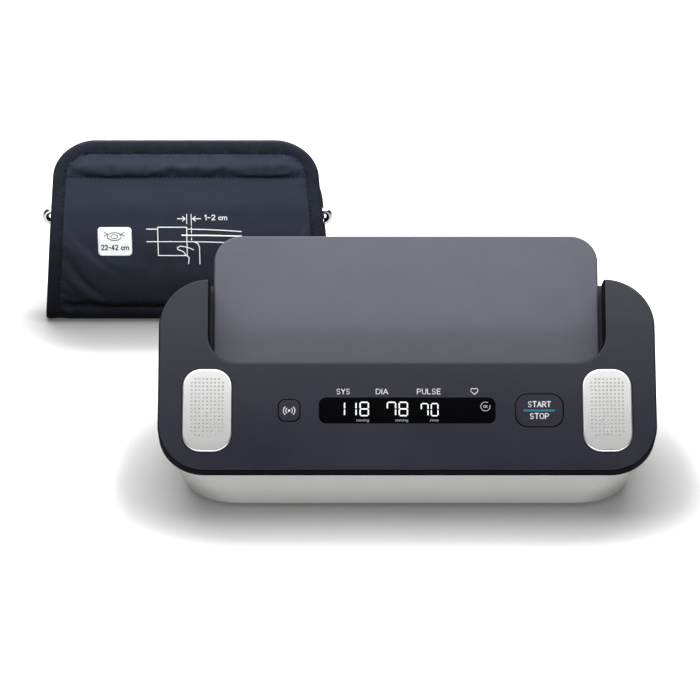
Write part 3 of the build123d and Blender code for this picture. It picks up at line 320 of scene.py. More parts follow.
def pile(name, colour, loop):
    """Loop pile or hook tape: packed tufts."""
    s = Shader(name, Specular_IOR_Level=0.2, Sheen_Weight=0.5, Sheen_Roughness=0.5)
    tuft = s.add("TexVoronoi", named={"Vector": s.place, "Scale": 1 / (loop * MM)}).outputs["Distance"]
    base = s.blend(s.span(tuft, 0.0, 0.7, 0, 0.75), colour, scaled(colour, 0.3))
    base = s.blend(s.span(s.noise(7 * MM), 0.3, 0.7, 0, 0.2), base, colour)
    return s.coat(base, 0.92, s.bump(s.math("SUBTRACT", 1.0, tuft), 0.25 * MM))


SHELL = tone(25, 25, 44)
# The rim's darker plastic, also used as painted shade in the button gaps and along the panel's edge.
RIM_AND_GAP_SHADE = tone(8, 8, 16)
MATERIALS = {
    "shell": moulded("shell_plastic", SHELL, 0.36, rim=RIM_AND_GAP_SHADE),
    "button": moulded("button_plastic", SHELL, 0.34, rim=RIM_AND_GAP_SHADE),
    "tub": moulded("tub_plastic", tone(240, 240, 238), 0.42, spread=0.015, worn=tone(238, 238, 236),
                   level=0.4, foot_shade=0.3),
    "rest": moulded("rest_plastic", tone(94, 94, 108), 0.36, spread=0.04, worn=tone(150, 151, 160)),
    "brace": moulded("brace_plastic", tone(30, 31, 36), 0.5, worn=tone(70, 72, 80), level=0.4),
    "black": moulded("black_plastic", tone(22, 22, 24), 0.4),
    "port": moulded("port_plastic", tone(58, 60, 66), 0.4),
    "jack": moulded("jack_plastic", tone(84, 86, 92), 0.38),
    "rubber": moulded("rubber", tone(30, 30, 31), 0.75, grain=0.2, depth=0.02, level=0.3),
    "hose": moulded("hose_rubber", tone(196, 198, 196), 0.35, depth=0.004),
    "glass": moulded("display_glass", tone(58, 66, 70), 0.2, depth=0.002, level=0.6),
    "board": moulded("board_lacquer", tone(22, 82, 48), 0.35, grain=0.6, depth=0.01),
    "wrap": moulded("cell_wrap", tone(70, 74, 84), 0.3, depth=0.003, worn=tone(160, 160, 165)),
    "pad": metal("electrode_metal", tone(249, 249, 248), 0.3, (6, 1, 1), depth=0.0004, spread=0.012,
                 metallic=0.86, vary=0.015, pit_shade=0.65),
    "steel": metal("steel", tone(196, 197, 200), 0.22, (1, 8, 1)),
    "ring": metal("ring_steel", tone(214, 215, 218), 0.12, (8, 1, 1), depth=0.001, rim=0.05),
    "gold": metal("contact_gold", tone(214, 178, 96), 0.25),
    "pump": metal("pump_can", tone(168, 170, 174), 0.3, (8, 1, 1)),
    "print": ink("white_print", tone(252, 252, 254)),
    "cuff_print": ink("cuff_print", tone(250, 251, 254)),
    "unit": ink("dim_segment", tone(160, 162, 166), 0.6),
    "teal": ink("teal_print", tone(34, 132, 152)),
    "segment": ink("lit_segment", tone(232, 234, 236), 0.6),
    "lens": lens_material(),
    "cloth": woven("cuff_nylon", tone(51, 54, 67), 0.55),
    "tape": ribbed("binding_tape", tone(38, 40, 50)),
    "lining": pile("loop_pile", tone(30, 32, 42), 0.7),
    "hooks": pile("hook_tape", tone(24, 25, 30), 0.9),
    "bladder": moulded("bladder_film", tone(120, 122, 126), 0.4, grain=0.5, depth=0.01),
    "thread": ribbed("sewing_thread", tone(7, 8, 12)),
    "patch": ink("white_patch", tone(250, 251, 255)),
    "dark_print": ink("dark_print", tone(40, 42, 52)),
}
# The CAD pieces that wear each material.
DRESSED = {
    "shell": ["top_shell"], "tub": ["base_tub", "battery_door"], "button": ["start_button", "link_button"],
    "lens": ["display_window"], "glass": ["display_module"], "pad": ["left_electrode", "right_electrode"],
    "gold": ["electrode_contacts"], "rest": ["phone_back_rest"], "brace": ["stand_brace"],
    "steel": ["stand_screws", "board_screws", "tact_switches", "battery_contacts", "housing_screws"],
    "board": ["main_board", "power_board"], "wrap": ["batteries"], "jack": ["air_jack"], "pump": ["air_pump"],
    "black": ["board_components", "power_components", "adapter_socket", "release_valve"],
    "rubber": ["pump_sleeve", "rubber_feet"], "hose": ["jack_hose", "valve_hose"], "ring": ["cuff_ring"],
    "port": ["cuff_air_port"],
}


def dress_nodes():
    for material, nodes in DRESSED.items():
        for node in nodes:
            mesh = NODES[node].data
            mesh.materials.clear()
            mesh.materials.append(MATERIALS[material])


# ---- studio ----
# The studio's brightness along the horizon and above, and the sine of the height where it is the second.
HORIZON, ZENITH, ZENITH_FROM = 0.25, 0.05, 0.25
# The floor's colour as it is seen, and the darker one that it throws on other things.
FLOOR_SIZE, FLOOR_COLOUR, FLOOR_BOUNCE = 8.0, 0.86, 0.08
# The floor's own light: close to things (lower there, a painted shadow), clear of them, far from the middle,
# and as glossy things mirror it.
FLOOR_GLOW, OPEN_GLOW, FAR_GLOW, MIRROR_GLOW = 0.1, 0.6, 1.0, 0.15
FAR_START, FAR_END = 0.2, 0.4
FLOOR_REACH = 40  # how near a thing has to be to darken the floor


def make_floor():
    """A card with a painted shadow under things, that fades to the white backdrop away from whatever stands
    on it.
    """
    s = Shader("floor", Specular_IOR_Level=0.1)
    rays = s.add("LightPath").outputs
    colour = s.span(rays["Is Diffuse Ray"], 0, 1, FLOOR_COLOUR, FLOOR_BOUNCE)
    sky = s.open_sky(FLOOR_REACH)
    # Painted shadow: the floor's colour and its glow are lower near whatever stands on it.
    material = s.coat(s.math("MULTIPLY", colour, s.span(sky, 0.2, 1.0, 0.45, 1.0)), 0.9)
    from_middle = s.add("VectorMath", s.place, operation="LENGTH").outputs["Value"]
    clear = s.span(from_middle, FAR_START, FAR_END, OPEN_GLOW, FAR_GLOW)
    shown = s.math("MULTIPLY", rays["Is Camera Ray"], s.span(sky, 0.85, 1.0, FLOOR_GLOW, clear))
    mirrored = s.math("MULTIPLY", rays["Is Glossy Ray"], MIRROR_GLOW)
    glow = s.add("Emission", (1, 1, 1, 1), s.math("MAXIMUM", shown, mirrored))
    both = s.add("AddShader", s.surface, glow)
    s.put(s.tree.nodes["Material Output"].inputs["Surface"], both)
    bpy.ops.mesh.primitive_grid_add(x_subdivisions=4, y_subdivisions=4, size=FLOOR_SIZE)
    floor = bpy.context.object
    floor.name = "floor"
    floor.data.materials.append(material)


def make_world():
    """White where the camera sees it; otherwise dim, and dimmer above than along the horizon."""
    world = bpy.data.worlds.new("studio")
    SCENE.world = world
    world.use_nodes = True
    tree = Nodes(world.node_tree)
    up = tree.add("SeparateXYZ", tree.add("TexCoord").outputs["Generated"]).outputs["Z"]
    dim = tree.span(up, 0.0, ZENITH_FROM, HORIZON, ZENITH)
    seen = tree.add("LightPath").outputs["Is Camera Ray"]
    background = tree.tree.nodes["Background"].inputs
    tree.put(background["Strength"], tree.math("MAXIMUM", dim, seen))
    tree.put(background["Color"], (1, 1, 1, 1))


def make_studio():
    make_floor()
    SCENE.view_settings.view_transform = "Standard"
    make_world()
    for name in ("top", "back", "front"):
        area_light(name)


def light_cuff():
    """A key lamp from high in front that reaches the cuff alone, as if flags kept it off the monitor."""
    lit = bpy.data.collections.new("lit_by_key")
    for piece in bpy.data.objects:
        if piece.type == "MESH" and piece.name in CUFF_PIECES:
            lit.objects.link(piece)
    area_light("key").light_linking.receiver_collection = lit


# ---- mesh helpers ----
def local_point(x, y, z):
    """A point in the monitor's own frame, from millimetres."""
    return Vector((x, y, z)) * MM + ORIGIN


def panel_point(x, u, out=0.0):
    """A point of the control panel: millimetres to the right, up the panel and out of it."""
    y = u * cos(SLOPE) - out * sin(SLOPE)
    z = PANEL_FRONT_HEIGHT + u * sin(SLOPE) + out * cos(SLOPE)
    return local_point(x, y, z)


def new_piece(name, points, faces, material, body, slot, uvs=None, smooth=True):
    mesh = bpy.data.meshes.new(name)
    mesh.from_pydata([tuple(p) for p in points], [], faces)
    mesh.materials.append(MATERIALS[material])
    if uvs:
        layer = mesh.uv_layers.new(name="sheet")
        for loop in mesh.loops:
            layer.data[loop.index].uv = uvs[loop.vertex_index]
    if smooth:
        mesh.shade_smooth()
    mesh.validate()
    shape = bmesh.new()
    shape.from_mesh(mesh)
    bmesh.ops.recalc_face_normals(shape, faces=shape.faces)
    shape.to_mesh(mesh)
    shape.free()
    piece = bpy.data.objects.new(name, mesh)
    SCENE.collection.objects.link(piece)
    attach(piece, body)
    return piece


def grid_faces(rows, columns, start=0, closed=False):
    """Faces of a grid of points given row by row; closed joins the last column to the first."""
    faces = []
    for i in range(rows - 1):
        for j in range(columns if closed else columns - 1):
            k = (j + 1) % columns
            a, b = start + i * columns, start + (i + 1) * columns
            faces.append((a + j, a + k, b + k, b + j))
    return faces


def sheet_faces(rows, columns):
    """Faces of a thin closed sheet: its outer grid, the inner one that comes after it, and the rim."""
    count = rows * columns
    faces = grid_faces(rows, columns)
    faces += [tuple(count + k for k in reversed(f)) for f in faces]
    rim = list(range(columns)) + [i * columns + columns - 1 for i in range(1, rows)]
    rim += [(rows - 1) * columns + j for j in range(columns - 2, -1, -1)]
    rim += [i * columns for i in range(rows - 2, 0, -1)]
    return faces + [(b, a, count + a, count + b) for a, b in zip(rim, rim[1:] + rim[:1])]


class Strokes:
    """Flat ink shapes with a little thickness, drawn in a plane and placed by a function of (x, y, out)."""

    def __init__(self, place, thickness=0.03, sunk=0.02):
        self.place, self.thickness, self.sunk = place, thickness, sunk
        self.points, self.faces = [], []

    def polygon(self, outline):
        """A filled convex outline, counter-clockwise, in millimetres."""
        start, count = len(self.points), len(outline)
        for out in (self.thickness, -self.sunk):
            self.points += [self.place(x, y, out) for x, y in outline]
        self.faces.append(tuple(range(start, start + count)))
        self.faces.append(tuple(reversed(range(start + count, start + 2 * count))))
        for i in range(count):
            j = (i + 1) % count
            self.faces.append((start + j, start + i, start + count + i, start + count + j))

    def line(self, path, width, closed=False, step=None):
        """A stroke of that width along a path, with round ends and corners.

        step is the length of the parts that it is cut into, to follow a curved surface.
        """
        path = [Vector(p) for p in path] + ([Vector(path[0])] if closed else [])
        if step:
            cut = [path[0]]
            for a, b in zip(path, path[1:]):
                count = max(1, round((b - a).length / step))
                cut += [a.lerp(b, k / count) for k in range(1, count + 1)]
            path = cut
        for a, b in zip(path, path[1:]):
            along = (b - a).normalized() * width / 2
            outline = []
            for end, way in ((b, 1), (a, -1)):
                dx, dy = along * way
                for turn in [k * pi / 8 for k in range(-4, 5)]:
                    spoke = Vector((dx * cos(turn) - dy * sin(turn), dx * sin(turn) + dy * cos(turn)))
                    outline.append(end + spoke)
            self.polygon([tuple(p) for p in outline])

    def piece(self, name, material, body, slot):
        return new_piece(name, self.points, self.faces, material, body, slot, smooth=False)


def arc(centre, radius, start, end, steps=10, squeeze=1.0):
    """Points of an arc, in degrees, with its height scaled by squeeze."""
    turns = [radians(start + (end - start) * i / steps) for i in range(steps + 1)]
    return [(centre[0] + radius * cos(t), centre[1] + squeeze * radius * sin(t)) for t in turns]


# Rounded gothic letters in a box 1 high; each is its width and its strokes.
LETTERS = {
    "S": (0.62, [arc((0.31, 0.74), 0.26, 30, 270, 8) + arc((0.31, 0.24), 0.26, 90, -150, 8)]),
    "T": (0.6, [[(0, 1), (0.6, 1)], [(0.3, 1), (0.3, 0)]]),
    "A": (0.68, [[(0, 0), (0.34, 1), (0.68, 0)], [(0.13, 0.33), (0.55, 0.33)]]),
    "R": (0.6, [[(0, 0), (0, 1), (0.32, 1), *arc((0.32, 0.74), 0.26, 80, -90, 6), (0, 0.48)],
                [(0.32, 0.48), (0.6, 0)]]),
    "O": (0.68, [[*arc((0.34, 0.62), 0.34, 0, 180, 8, 1.1), *arc((0.34, 0.38), 0.34, 180, 360, 8, 1.1),
                  (0.68, 0.62)]]),
    "P": (0.58, [[(0, 0), (0, 1), (0.3, 1), *arc((0.3, 0.72), 0.28, 80, -90, 6), (0, 0.44)]]),
    "Y": (0.64, [[(0, 1), (0.32, 0.5), (0.64, 1)], [(0.32, 0.5), (0.32, 0)]]),
    "D": (0.66, [[(0, 0), (0, 1), (0.26, 1), *arc((0.26, 0.5), 0.4, 80, -80, 8, 1.25), (0.26, 0), (0, 0)]]),
    "I": (0.0, [[(0, 0), (0, 1)]]),
    "U": (0.62, [[(0, 1), (0, 0.31), *arc((0.31, 0.31), 0.31, 190, 350, 8), (0.62, 0.31), (0.62, 1)]]),
    "L": (0.5, [[(0, 1), (0, 0), (0.5, 0)]]),
    "E": (0.5, [[(0.5, 1), (0, 1), (0, 0), (0.5, 0)], [(0, 0.52), (0.44, 0.52)]]),
    "K": (0.58, [[(0, 0), (0, 1)], [(0.56, 1), (0, 0.4)], [(0.2, 0.56), (0.58, 0)]]),
    "H": (0.62, [[(0, 0), (0, 1)], [(0.62, 0), (0.62, 1)], [(0, 0.52), (0.62, 0.52)]]),
    "m": (0.86, [[(0, 0), (0, 0.7)], [(0, 0.5), *arc((0.22, 0.49), 0.21, 160, 10, 5), (0.43, 0)],
                 [(0.43, 0.5), *arc((0.65, 0.49), 0.21, 160, 10, 5), (0.86, 0)]]),
    "g": (0.48, [[*arc((0.24, 0.42), 0.24, 0, 360, 10)], [(0.48, 0.68), (0.48, -0.1),
                 *arc((0.24, -0.1), 0.23, -10, -150, 6)]]),
    "n": (0.46, [[(0, 0), (0, 0.7)], [(0, 0.45), *arc((0.23, 0.46), 0.23, 160, 10, 5), (0.46, 0)]]),
    "i": (0.0, [[(0, 0), (0, 0.7)], [(0, 0.94), (0, 0.97)]]),
    "/": (0.4, [[(0, -0.05), (0.4, 1.0)]]),
    "c": (0.44, [arc((0.24, 0.35), 0.25, 40, 320, 8, 1.35)]),
    "-": (0.4, [[(0, 0.45), (0.4, 0.45)]]),
    "1": (0.24, [[(0, 0.78), (0.24, 1), (0.24, 0)]]),
    "2": (0.56, [[*arc((0.28, 0.72), 0.28, 165, -30, 7), (0, 0), (0.56, 0)]]),
    "4": (0.6, [[(0.44, 0), (0.44, 1), (0, 0.3), (0.6, 0.3)]]),
}


def write(strokes, text, left, right, low, high, weight, gap=0.26):
    """Letters from left to right that fill a box, with strokes of a given weight."""
    widths = [LETTERS[c][0] for c in text]
    total = sum(widths) + gap * (len(text) - 1)
    across, up = (right - left - weight) / total, high - low - weight
    x = left + weight / 2
    for c, width in zip(text, widths):
        for path in LETTERS[c][1]:
            strokes.line([(x + px * across, low + weight / 2 + py * up) for px, py in path], weight)
        x += (width + gap) * across


SEGMENTS = {"0": "abcdef", "1": "bc", "7": "abcf", "8": "abcdefg"}


def seven_segment(strokes, digit, right, low, width, height, bar, gap=0.14):
    """A seven-segment figure; bars have bevelled ends."""
    left, middle, high = right - width, low + height / 2, low + height
    h = bar / 2
    corners = {
        "a": ((left, high - h), (right, high - h)), "d": ((left, low + h), (right, low + h)),
        "g": ((left, middle), (right, middle)), "b": ((right - h, middle), (right - h, high)),
        "c": ((right - h, low), (right - h, middle)), "f": ((left + h, middle), (left + h, high)),
        "e": ((left + h, low), (left + h, middle)),
    }
    for name in SEGMENTS[digit]:
        (x0, y0), (x1, y1) = corners[name]
        if name in "adg":
            x0, x1 = x0 + h + gap, x1 - h - gap
            strokes.polygon([(x0, y0), (x0 + h, y0 - h), (x1 - h, y0 - h), (x1, y0), (x1 - h, y0 + h),
                             (x0 + h, y0 + h)])
        else:
            y0 += (0 if name in "bf" else h) + gap
            y1 -= (h if name in "bf" else 0) + gap
            strokes.polygon([(x0, y0), (x0 + h, y0 + h), (x0 + h, y1 - h), (x0, y1), (x0 - h, y1 - h),
                             (x0 - h, y0 + h)])


# Rows of print: low edge, high edge and stroke. Figures: low edge, width, height and bar.
LABEL_ROW = (35.6, 38.3, 0.36)
UNIT_ROW = (22.75, 23.95, 0.15)
LARGE_FIGURE = (25.25, 4.3, 6.9, 0.6)
SMALL_FIGURE = (25.2, 3.55, 6.3, 0.55)
HEART_X = 30.4
LINK_X, LINK_U = -53.3, 27.9


def make_prints():
    """Labels on the panel and the buttons, and what the display shows, in millimetres on the panel."""
    labels = Strokes(panel_point)
    for text, left, right in (("SYS", -32.0, -25.8), ("DIA", -14.2, -8.6), ("PULSE", 4.4, 15.1)):
        write(labels, text, left, right, *LABEL_ROW)
    heart = [(HEART_X, 35.5), (28.9, 37.0), *arc((29.55, 37.65), 0.78, 200, 40, 6)]
    heart += [(2 * HEART_X - x, y) for x, y in reversed(heart[1:])]
    labels.line(heart, 0.34, closed=True)
    labels.piece("panel_labels", "print", "monitor", "button_dark")

    start = Strokes(panel_point)
    write(start, "START", 54.4, 64.9, 29.5, 32.4, 0.46)
    write(start, "STOP", 55.2, 64.0, 23.9, 26.8, 0.46)
    start.piece("start_label", "print", "start_button", "button_dark")
    bar = Strokes(panel_point)
    bar.line([(52.7, 27.98), (66.3, 27.98)], 0.8)
    bar.piece("start_bar", "teal", "start_button", "button_dark")

    link = Strokes(panel_point)
    link.line([(LINK_X, LINK_U - 0.05), (LINK_X, LINK_U + 0.05)], 1.1)
    for radius in (1.5, 2.6):
        for side in (0, 180):
            link.line(arc((LINK_X, LINK_U), radius, side - 42, side + 42, 8), 0.45)
    link.piece("link_label", "print", "link_button", "button_dark")

    shown = Strokes(panel_point)
    for digit, right in (("1", -28.0), ("1", -22.8), ("8", -17.25), ("7", -4.95), ("8", 0.4)):
        seven_segment(shown, digit, right, *LARGE_FIGURE)
    for digit, right in (("7", 9.65), ("0", 14.15)):
        seven_segment(shown, digit, right, *SMALL_FIGURE)
    shown.piece("display_figures", "segment", "monitor", "display_cell")
    units = Strokes(panel_point)
    for text, left, right in (("mmHg", -22.9, -17.3), ("mmHg", -5.3, 0.35), ("/min", 10.2, 14.1)):
        write(units, text, left, right, *UNIT_ROW)
    units.line(arc((35.3, 29.85), 2.1, 60, 375, 20), 0.3)
    write(units, "OK", 34.3, 36.3, 29.2, 30.5, 0.24)
    units.piece("display_units", "unit", "monitor", "display_cell")


# ---- arm cuff ----
# The strip of the cuff, in millimetres: cloth, air bladder, cloth, rolled flat from the ring to the free end.
CUFF_X, CUFF_Y, CUFF_FRONT = -105.7, 208.3, 197.6
PITCH, CLOTH, BLADDER, CLOTH_GAP = 4.6, 0.9, 1.2, 0.05
STRIP = BLADDER + 2 * CLOTH
ROLL_LOW, ROLL_HIGH, FREE_END, ROLL_START = 10.7, 74.6, 100.0, 61.0
HALF_WIDTH, NARROWING = 71.3, 0.08  # at the table, and for each millimetre of height
INNER_INSET = 3.5  # how much narrower the inner turns get at their top
SHEET_INSET = 0.5  # the layers end this far inside the strip's edge
SEAM_Z, CREASE_Z = 81.3, 10.8
SEAM_HALF, CREASE_HALF = 59.2, 64.0
BAND_Z, BELLY_Z = 88.8, 68  # the fullest heights above and below the seam
CORNER_WIDTH, CORNER_HEIGHT = 20.0, 18.5
TAPE = 6.6
STITCH_PITCH, SEAM_STITCH = 2.4, 1.9
EDGE_STITCH = 0.72 * STITCH_PITCH
STITCH_IN, STITCH_OUT = 5.5, 1.22  # the edge stitches' place on the tape: in from the edge, and out
FRONT_COLUMNS, INNER_COLUMNS = 91, 49
# The simulation: its length, its pressure, how much too large the cloth is, and how far it may move.
SWELL_FRAMES, PUFF, SHRINK, MOST_MOVE, MOST_BACK = 24, 2.2, -0.018, 1.1, 0.45
CUFF_PIECES = {
    "cuff_nylon", "cuff_pile", "cuff_tail_felt", "cuff_edge_tape", "edge_stitches", "seam_stitches",
    "size_patch", "size_patch_marks", "fitting_diagram", "hook_tape", "ring_loop", NODES["cuff_ring"].name,
}


def smooth(value, low, high):
    """0 below low, 1 above high, and a smooth step between."""
    t = min(1.0, max(0.0, (value - low) / (high - low)))
    return t * t * (3 - 2 * t)


def bell(value, middle, width):
    return exp(-((value - middle) / width) ** 2)


class Roll:
    """The flattened spiral that the strip follows: runs up and down, joined by half turns."""

    def __init__(self):
        runs = [(0.0, 1), (PITCH, -1), (-PITCH, 1), (2 * PITCH, -1), (-2 * PITCH, 1)]
        self.parts, s = [], 0.0
        for i, (y, way) in enumerate(runs):
            low = ROLL_START if i == 0 else ROLL_LOW
            high = FREE_END if i == len(runs) - 1 else ROLL_HIGH
            self.parts.append((s, high - low, y, way, None, low if way > 0 else high))
            self.front = s
            s += high - low
            if i < len(runs) - 1:
                after = runs[i + 1][0]
                turn = pi * abs(after - y) / 2
                self.parts.append((s, turn, y, way, (y + after) / 2, ROLL_HIGH if way > 0 else ROLL_LOW))
                s += turn
        self.length = s

    def plain(self, s, out):
        """Place across and up of a point of the strip, at a distance out of its middle layer."""
        start, length, y, way, centre, z = [p for p in self.parts if p[0] <= max(s, 0)][-1]
        if centre is None:
            return y - way * out, z + way * (s - start)
        turn = pi * (s - start) / length
        reach = y - way * out - centre
        return centre + reach * cos(turn), z + way * abs(reach) * sin(turn)

    def side(self, s):
        """Half the strip's width, but for its round corners and the inner turns' inset."""
        return HALF_WIDTH - NARROWING * self.plain(s, 0)[1]

    def half_width(self, s):
        wide = self.side(s)
        if s < self.front:
            wide -= INNER_INSET * smooth(self.plain(s, 0)[1], 60, 80)
        up = (s - self.length + CORNER_HEIGHT) / CORNER_HEIGHT
        return wide - CORNER_WIDTH * (1 - sqrt(max(0.0, 1 - up * up))) if up > 0 else wide

    def across(self, s, columns):
        """Places of a row of grid points across the strip."""
        half = self.half_width(s) - SHEET_INSET
        return [half * (2 * j / (columns - 1) - 1) for j in range(columns)]

    def edge_distance(self, x, s):
        side, top = self.side(s) - abs(x), self.length - s
        if side < CORNER_WIDTH and top < CORNER_HEIGHT:
            a, b = (CORNER_WIDTH - side) / CORNER_WIDTH, (CORNER_HEIGHT - top) / CORNER_HEIGHT
            rho = max(1e-6, hypot(a, b))
            return (1 - rho) * hypot(CORNER_WIDTH * a, CORNER_HEIGHT * b) / rho
        return min(side, top)

    def point(self, x, s, out, swell=1.0):
        """A point of the strip in world metres, pressed thin at the sewn edges and full on the front."""
        inside = self.edge_distance(x, s)
        out *= pressed(inside)
        z0 = self.plain(s, 0)[1]
        near = smooth(s, self.front - 14, self.front + 2)
        if near > 0 and swell > 0:
            out += swell * near * front_swell(x, z0, inside)
        y, z = self.plain(s, out)
        # The front bellies forward in its middle and draws in at its foot.
        y -= near * (3.4 * bell(z, 54, 22) - 2.2 * bell(z, 4, 18))
        return local_point(CUFF_X + x, CUFF_Y + y, max(z, 0.02))


def pressed(inside):
    """The share of its thickness that the strip has, so far inside its edge."""
    return 0.7 + 0.3 * smooth(inside, 4, 13)


def front_swell(x, z, inside):
    """How far the outer cloth stands proud on the front: full between its seams, and puckered beside them."""
    wave = sin(x * 0.95 + 2.2 * noise.noise(Vector((x / 8, z / 8, 1.0))))
    pucker = wave * (exp(-abs(z - SEAM_Z) / 3.2) + 0.7 * exp(-max(0, inside - TAPE) / 3.0))
    broad = noise.noise(Vector((x / 30, z / 17, 3.0))) + 0.45 * noise.noise(Vector((x / 11, z / 9, 7.0)))
    full = 2.5 * bell(z, BAND_Z, 3.9) + 1.1 * bell(z, BELLY_Z, 8.0)
    dips = 1.0 * bell(z, SEAM_Z, 1.3) + 1.2 * bell(z, CREASE_Z, 1.4)
    return smooth(inside, 5, 11) * (full - dips + 0.12 * pucker + 0.32 * broad)


ROLL = Roll()


def corner_rows(steps):
    """Places along the strip over its round corners, closest at the free end."""
    return [ROLL.length - CORNER_HEIGHT * (1 - sin(pi / 2 * i / steps)) for i in range(steps + 1)]


def roll_rows(start, end, fine=1.25):
    """Places along the strip for the rows of a grid: close on the front, wider inside the roll."""
    rows = []
    for s, length, _, _, centre, _ in ROLL.parts:
        step = fine if s >= ROLL.front else (1.6 if centre is not None else 3.6)
        count = max(2, round(length / step))
        rows += [s + length * i / count for i in range(count)]
    tail = corner_rows(24)
    rows = [s for s in rows if s < tail[0] - 0.5] + tail
    return [s for s in rows if start - 0.01 <= s <= end + 0.01]


def layer(name, material, low, high, start, end, columns, swell, slot, moves=None):
    """A layer of the strip between two distances from its middle, as one closed sheet."""
    rows = roll_rows(start, end)
    points, uvs = [], []
    for out in (high, low):
        for s in rows:
            for j, x in enumerate(ROLL.across(s, columns)):
                point = ROLL.point(x, s, out, swell)
                if moves and (round(s, 3), j) in moves:
                    point += moves[round(s, 3), j]
                points.append(point)
                uvs.append((x * MM, s * MM))
    return new_piece(name, points, sheet_faces(len(rows), columns), material, "cuff", slot, uvs)


def swell_front(columns):
    """Cloth simulation of the front: how far each grid point moves, by its place along the strip and column.

    The nylon is sewn at its border, seam and lower fold, and is a little too large.
    """
    rows = [s for s in roll_rows(0, ROLL.length) if s >= ROLL.front - 16]
    points, pinned = [], []
    for s in rows:
        z = ROLL.plain(s, 0)[1]
        for x in ROLL.across(s, columns):
            inside = ROLL.edge_distance(x, s)
            if inside < TAPE or s == rows[0] or abs(z - SEAM_Z) < 0.8 or abs(z - CREASE_Z) < 0.8:
                pinned.append(len(points))
            points.append(ROLL.point(x, s, STRIP / 2))
    mesh = bpy.data.meshes.new("front_try")
    mesh.from_pydata([tuple(p) for p in points], [], grid_faces(len(rows), columns))
    trial = bpy.data.objects.new("front_try", mesh)
    SCENE.collection.objects.link(trial)
    trial.vertex_groups.new(name="sewn").add(pinned, 1.0, "REPLACE")
    cloth = trial.modifiers.new("cloth", "CLOTH")
    cloth.point_cache.frame_end = SWELL_FRAMES
    settings = cloth.settings
    settings.vertex_group_mass = "sewn"
    settings.quality = 6
    settings.mass = 0.2
    settings.tension_stiffness = settings.compression_stiffness = 12
    settings.shear_stiffness = 4
    settings.bending_stiffness = 0.4
    settings.shrink_min = SHRINK
    settings.use_pressure = True
    settings.uniform_pressure_force = PUFF
    settings.effector_weights.gravity = 0.3
    for frame_number in range(1, SWELL_FRAMES + 1):
        SCENE.frame_set(frame_number)
    settled = trial.evaluated_get(bpy.context.evaluated_depsgraph_get()).data
    moves = {}
    for k, point in enumerate(points):
        move = settled.vertices[k].co - point
        move.length = min(move.length, MOST_MOVE * MM) * smooth(point.z / MM, 1.0, 9.0)
        if move.y > MOST_BACK * MM:
            move *= MOST_BACK * MM / move.y
        moves[round(rows[k // columns], 3), k % columns] = move
    SCENE.frame_set(1)
    bpy.data.objects.remove(trial)
    return moves


def outline_points():
    """The strip's edge, from the ring end up one side, over the free end and down the other.

    Each point is its place (x, s) and the way inward.
    """
    side = [s for s in roll_rows(0, ROLL.length, 2.0) if s < ROLL.length - CORNER_HEIGHT]
    left = [(-ROLL.half_width(s), s) for s in side + corner_rows(16)]
    top, steps = ROLL.half_width(ROLL.length), 42
    middle = [(-top + 2 * top * i / steps, ROLL.length) for i in range(1, steps)]
    path = left + middle + [(-x, s) for x, s in reversed(left)]
    out = []
    for i, (x, s) in enumerate(path):
        a, b = path[max(0, i - 1)], path[min(len(path) - 1, i + 1)]
        along = Vector((b[0] - a[0], b[1] - a[1])).normalized()
        out.append((x, s, along.y, -along.x))
    return out


# The binding tape's profile: millimetres in from the edge, and out of the strip's middle.
TAPE_PROFILE = [(TAPE, 1.1), (6.35, 1.36), (STITCH_IN, 1.12), (4.4, 1.36), (2.9, 1.5), (1.5, 1.42),
                (0.5, 1.05), (0.08, 0.55), (0.0, 0.0)]


def tape_point(x, s, nx, ns, inward, out):
    """A point of the tape; its distance out is not thinned as the strip's is."""
    px, ps = x + nx * inward, s + ns * inward
    return ROLL.point(px, ps, out / pressed(ROLL.edge_distance(px, ps)), 0.0)


def make_binding():
    profile = TAPE_PROFILE + [(d, -o) for d, o in reversed(TAPE_PROFILE[:-1])]
    inner = [(d, o * 0.72) for d, o in TAPE_PROFILE[:5]]
    inner += [(1.5, 1.0), (0.75, 0.7), (0.42, 0.35), (0.36, 0.0)]
    inner += [(d, -o) for d, o in reversed(inner[:-1])]
    loop = profile + list(reversed(inner))
    path = outline_points()
    points, uvs, along = [], [], 0.0
    for i, (x, s, nx, ns) in enumerate(path):
        if i:
            along += hypot(x - path[i - 1][0], s - path[i - 1][1])
        ruck = 0.07 * sin(along * 2 * pi / STITCH_PITCH / 2.1) + 0.16 * noise.noise(Vector((along / 9, 0, 2)))
        across = 0.0
        for k, (d, o) in enumerate(loop):
            points.append(tape_point(x, s, nx, ns, d * (1 + 0.02 * ruck), o * (1 + 0.35 * ruck * (o > 1.2))))
            across += hypot(d - loop[k - 1][0], o - loop[k - 1][1]) if k else 0
            uvs.append((along * MM, across * MM))
    faces = grid_faces(len(path), len(loop), closed=True)
    faces.append(tuple(range(len(loop))))
    faces.append(tuple(reversed(range((len(path) - 1) * len(loop), len(path) * len(loop)))))
    tape = new_piece("cuff_edge_tape", points, faces, "tape", "cuff", "binding_navy", uvs)
    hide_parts("cuff_binding")


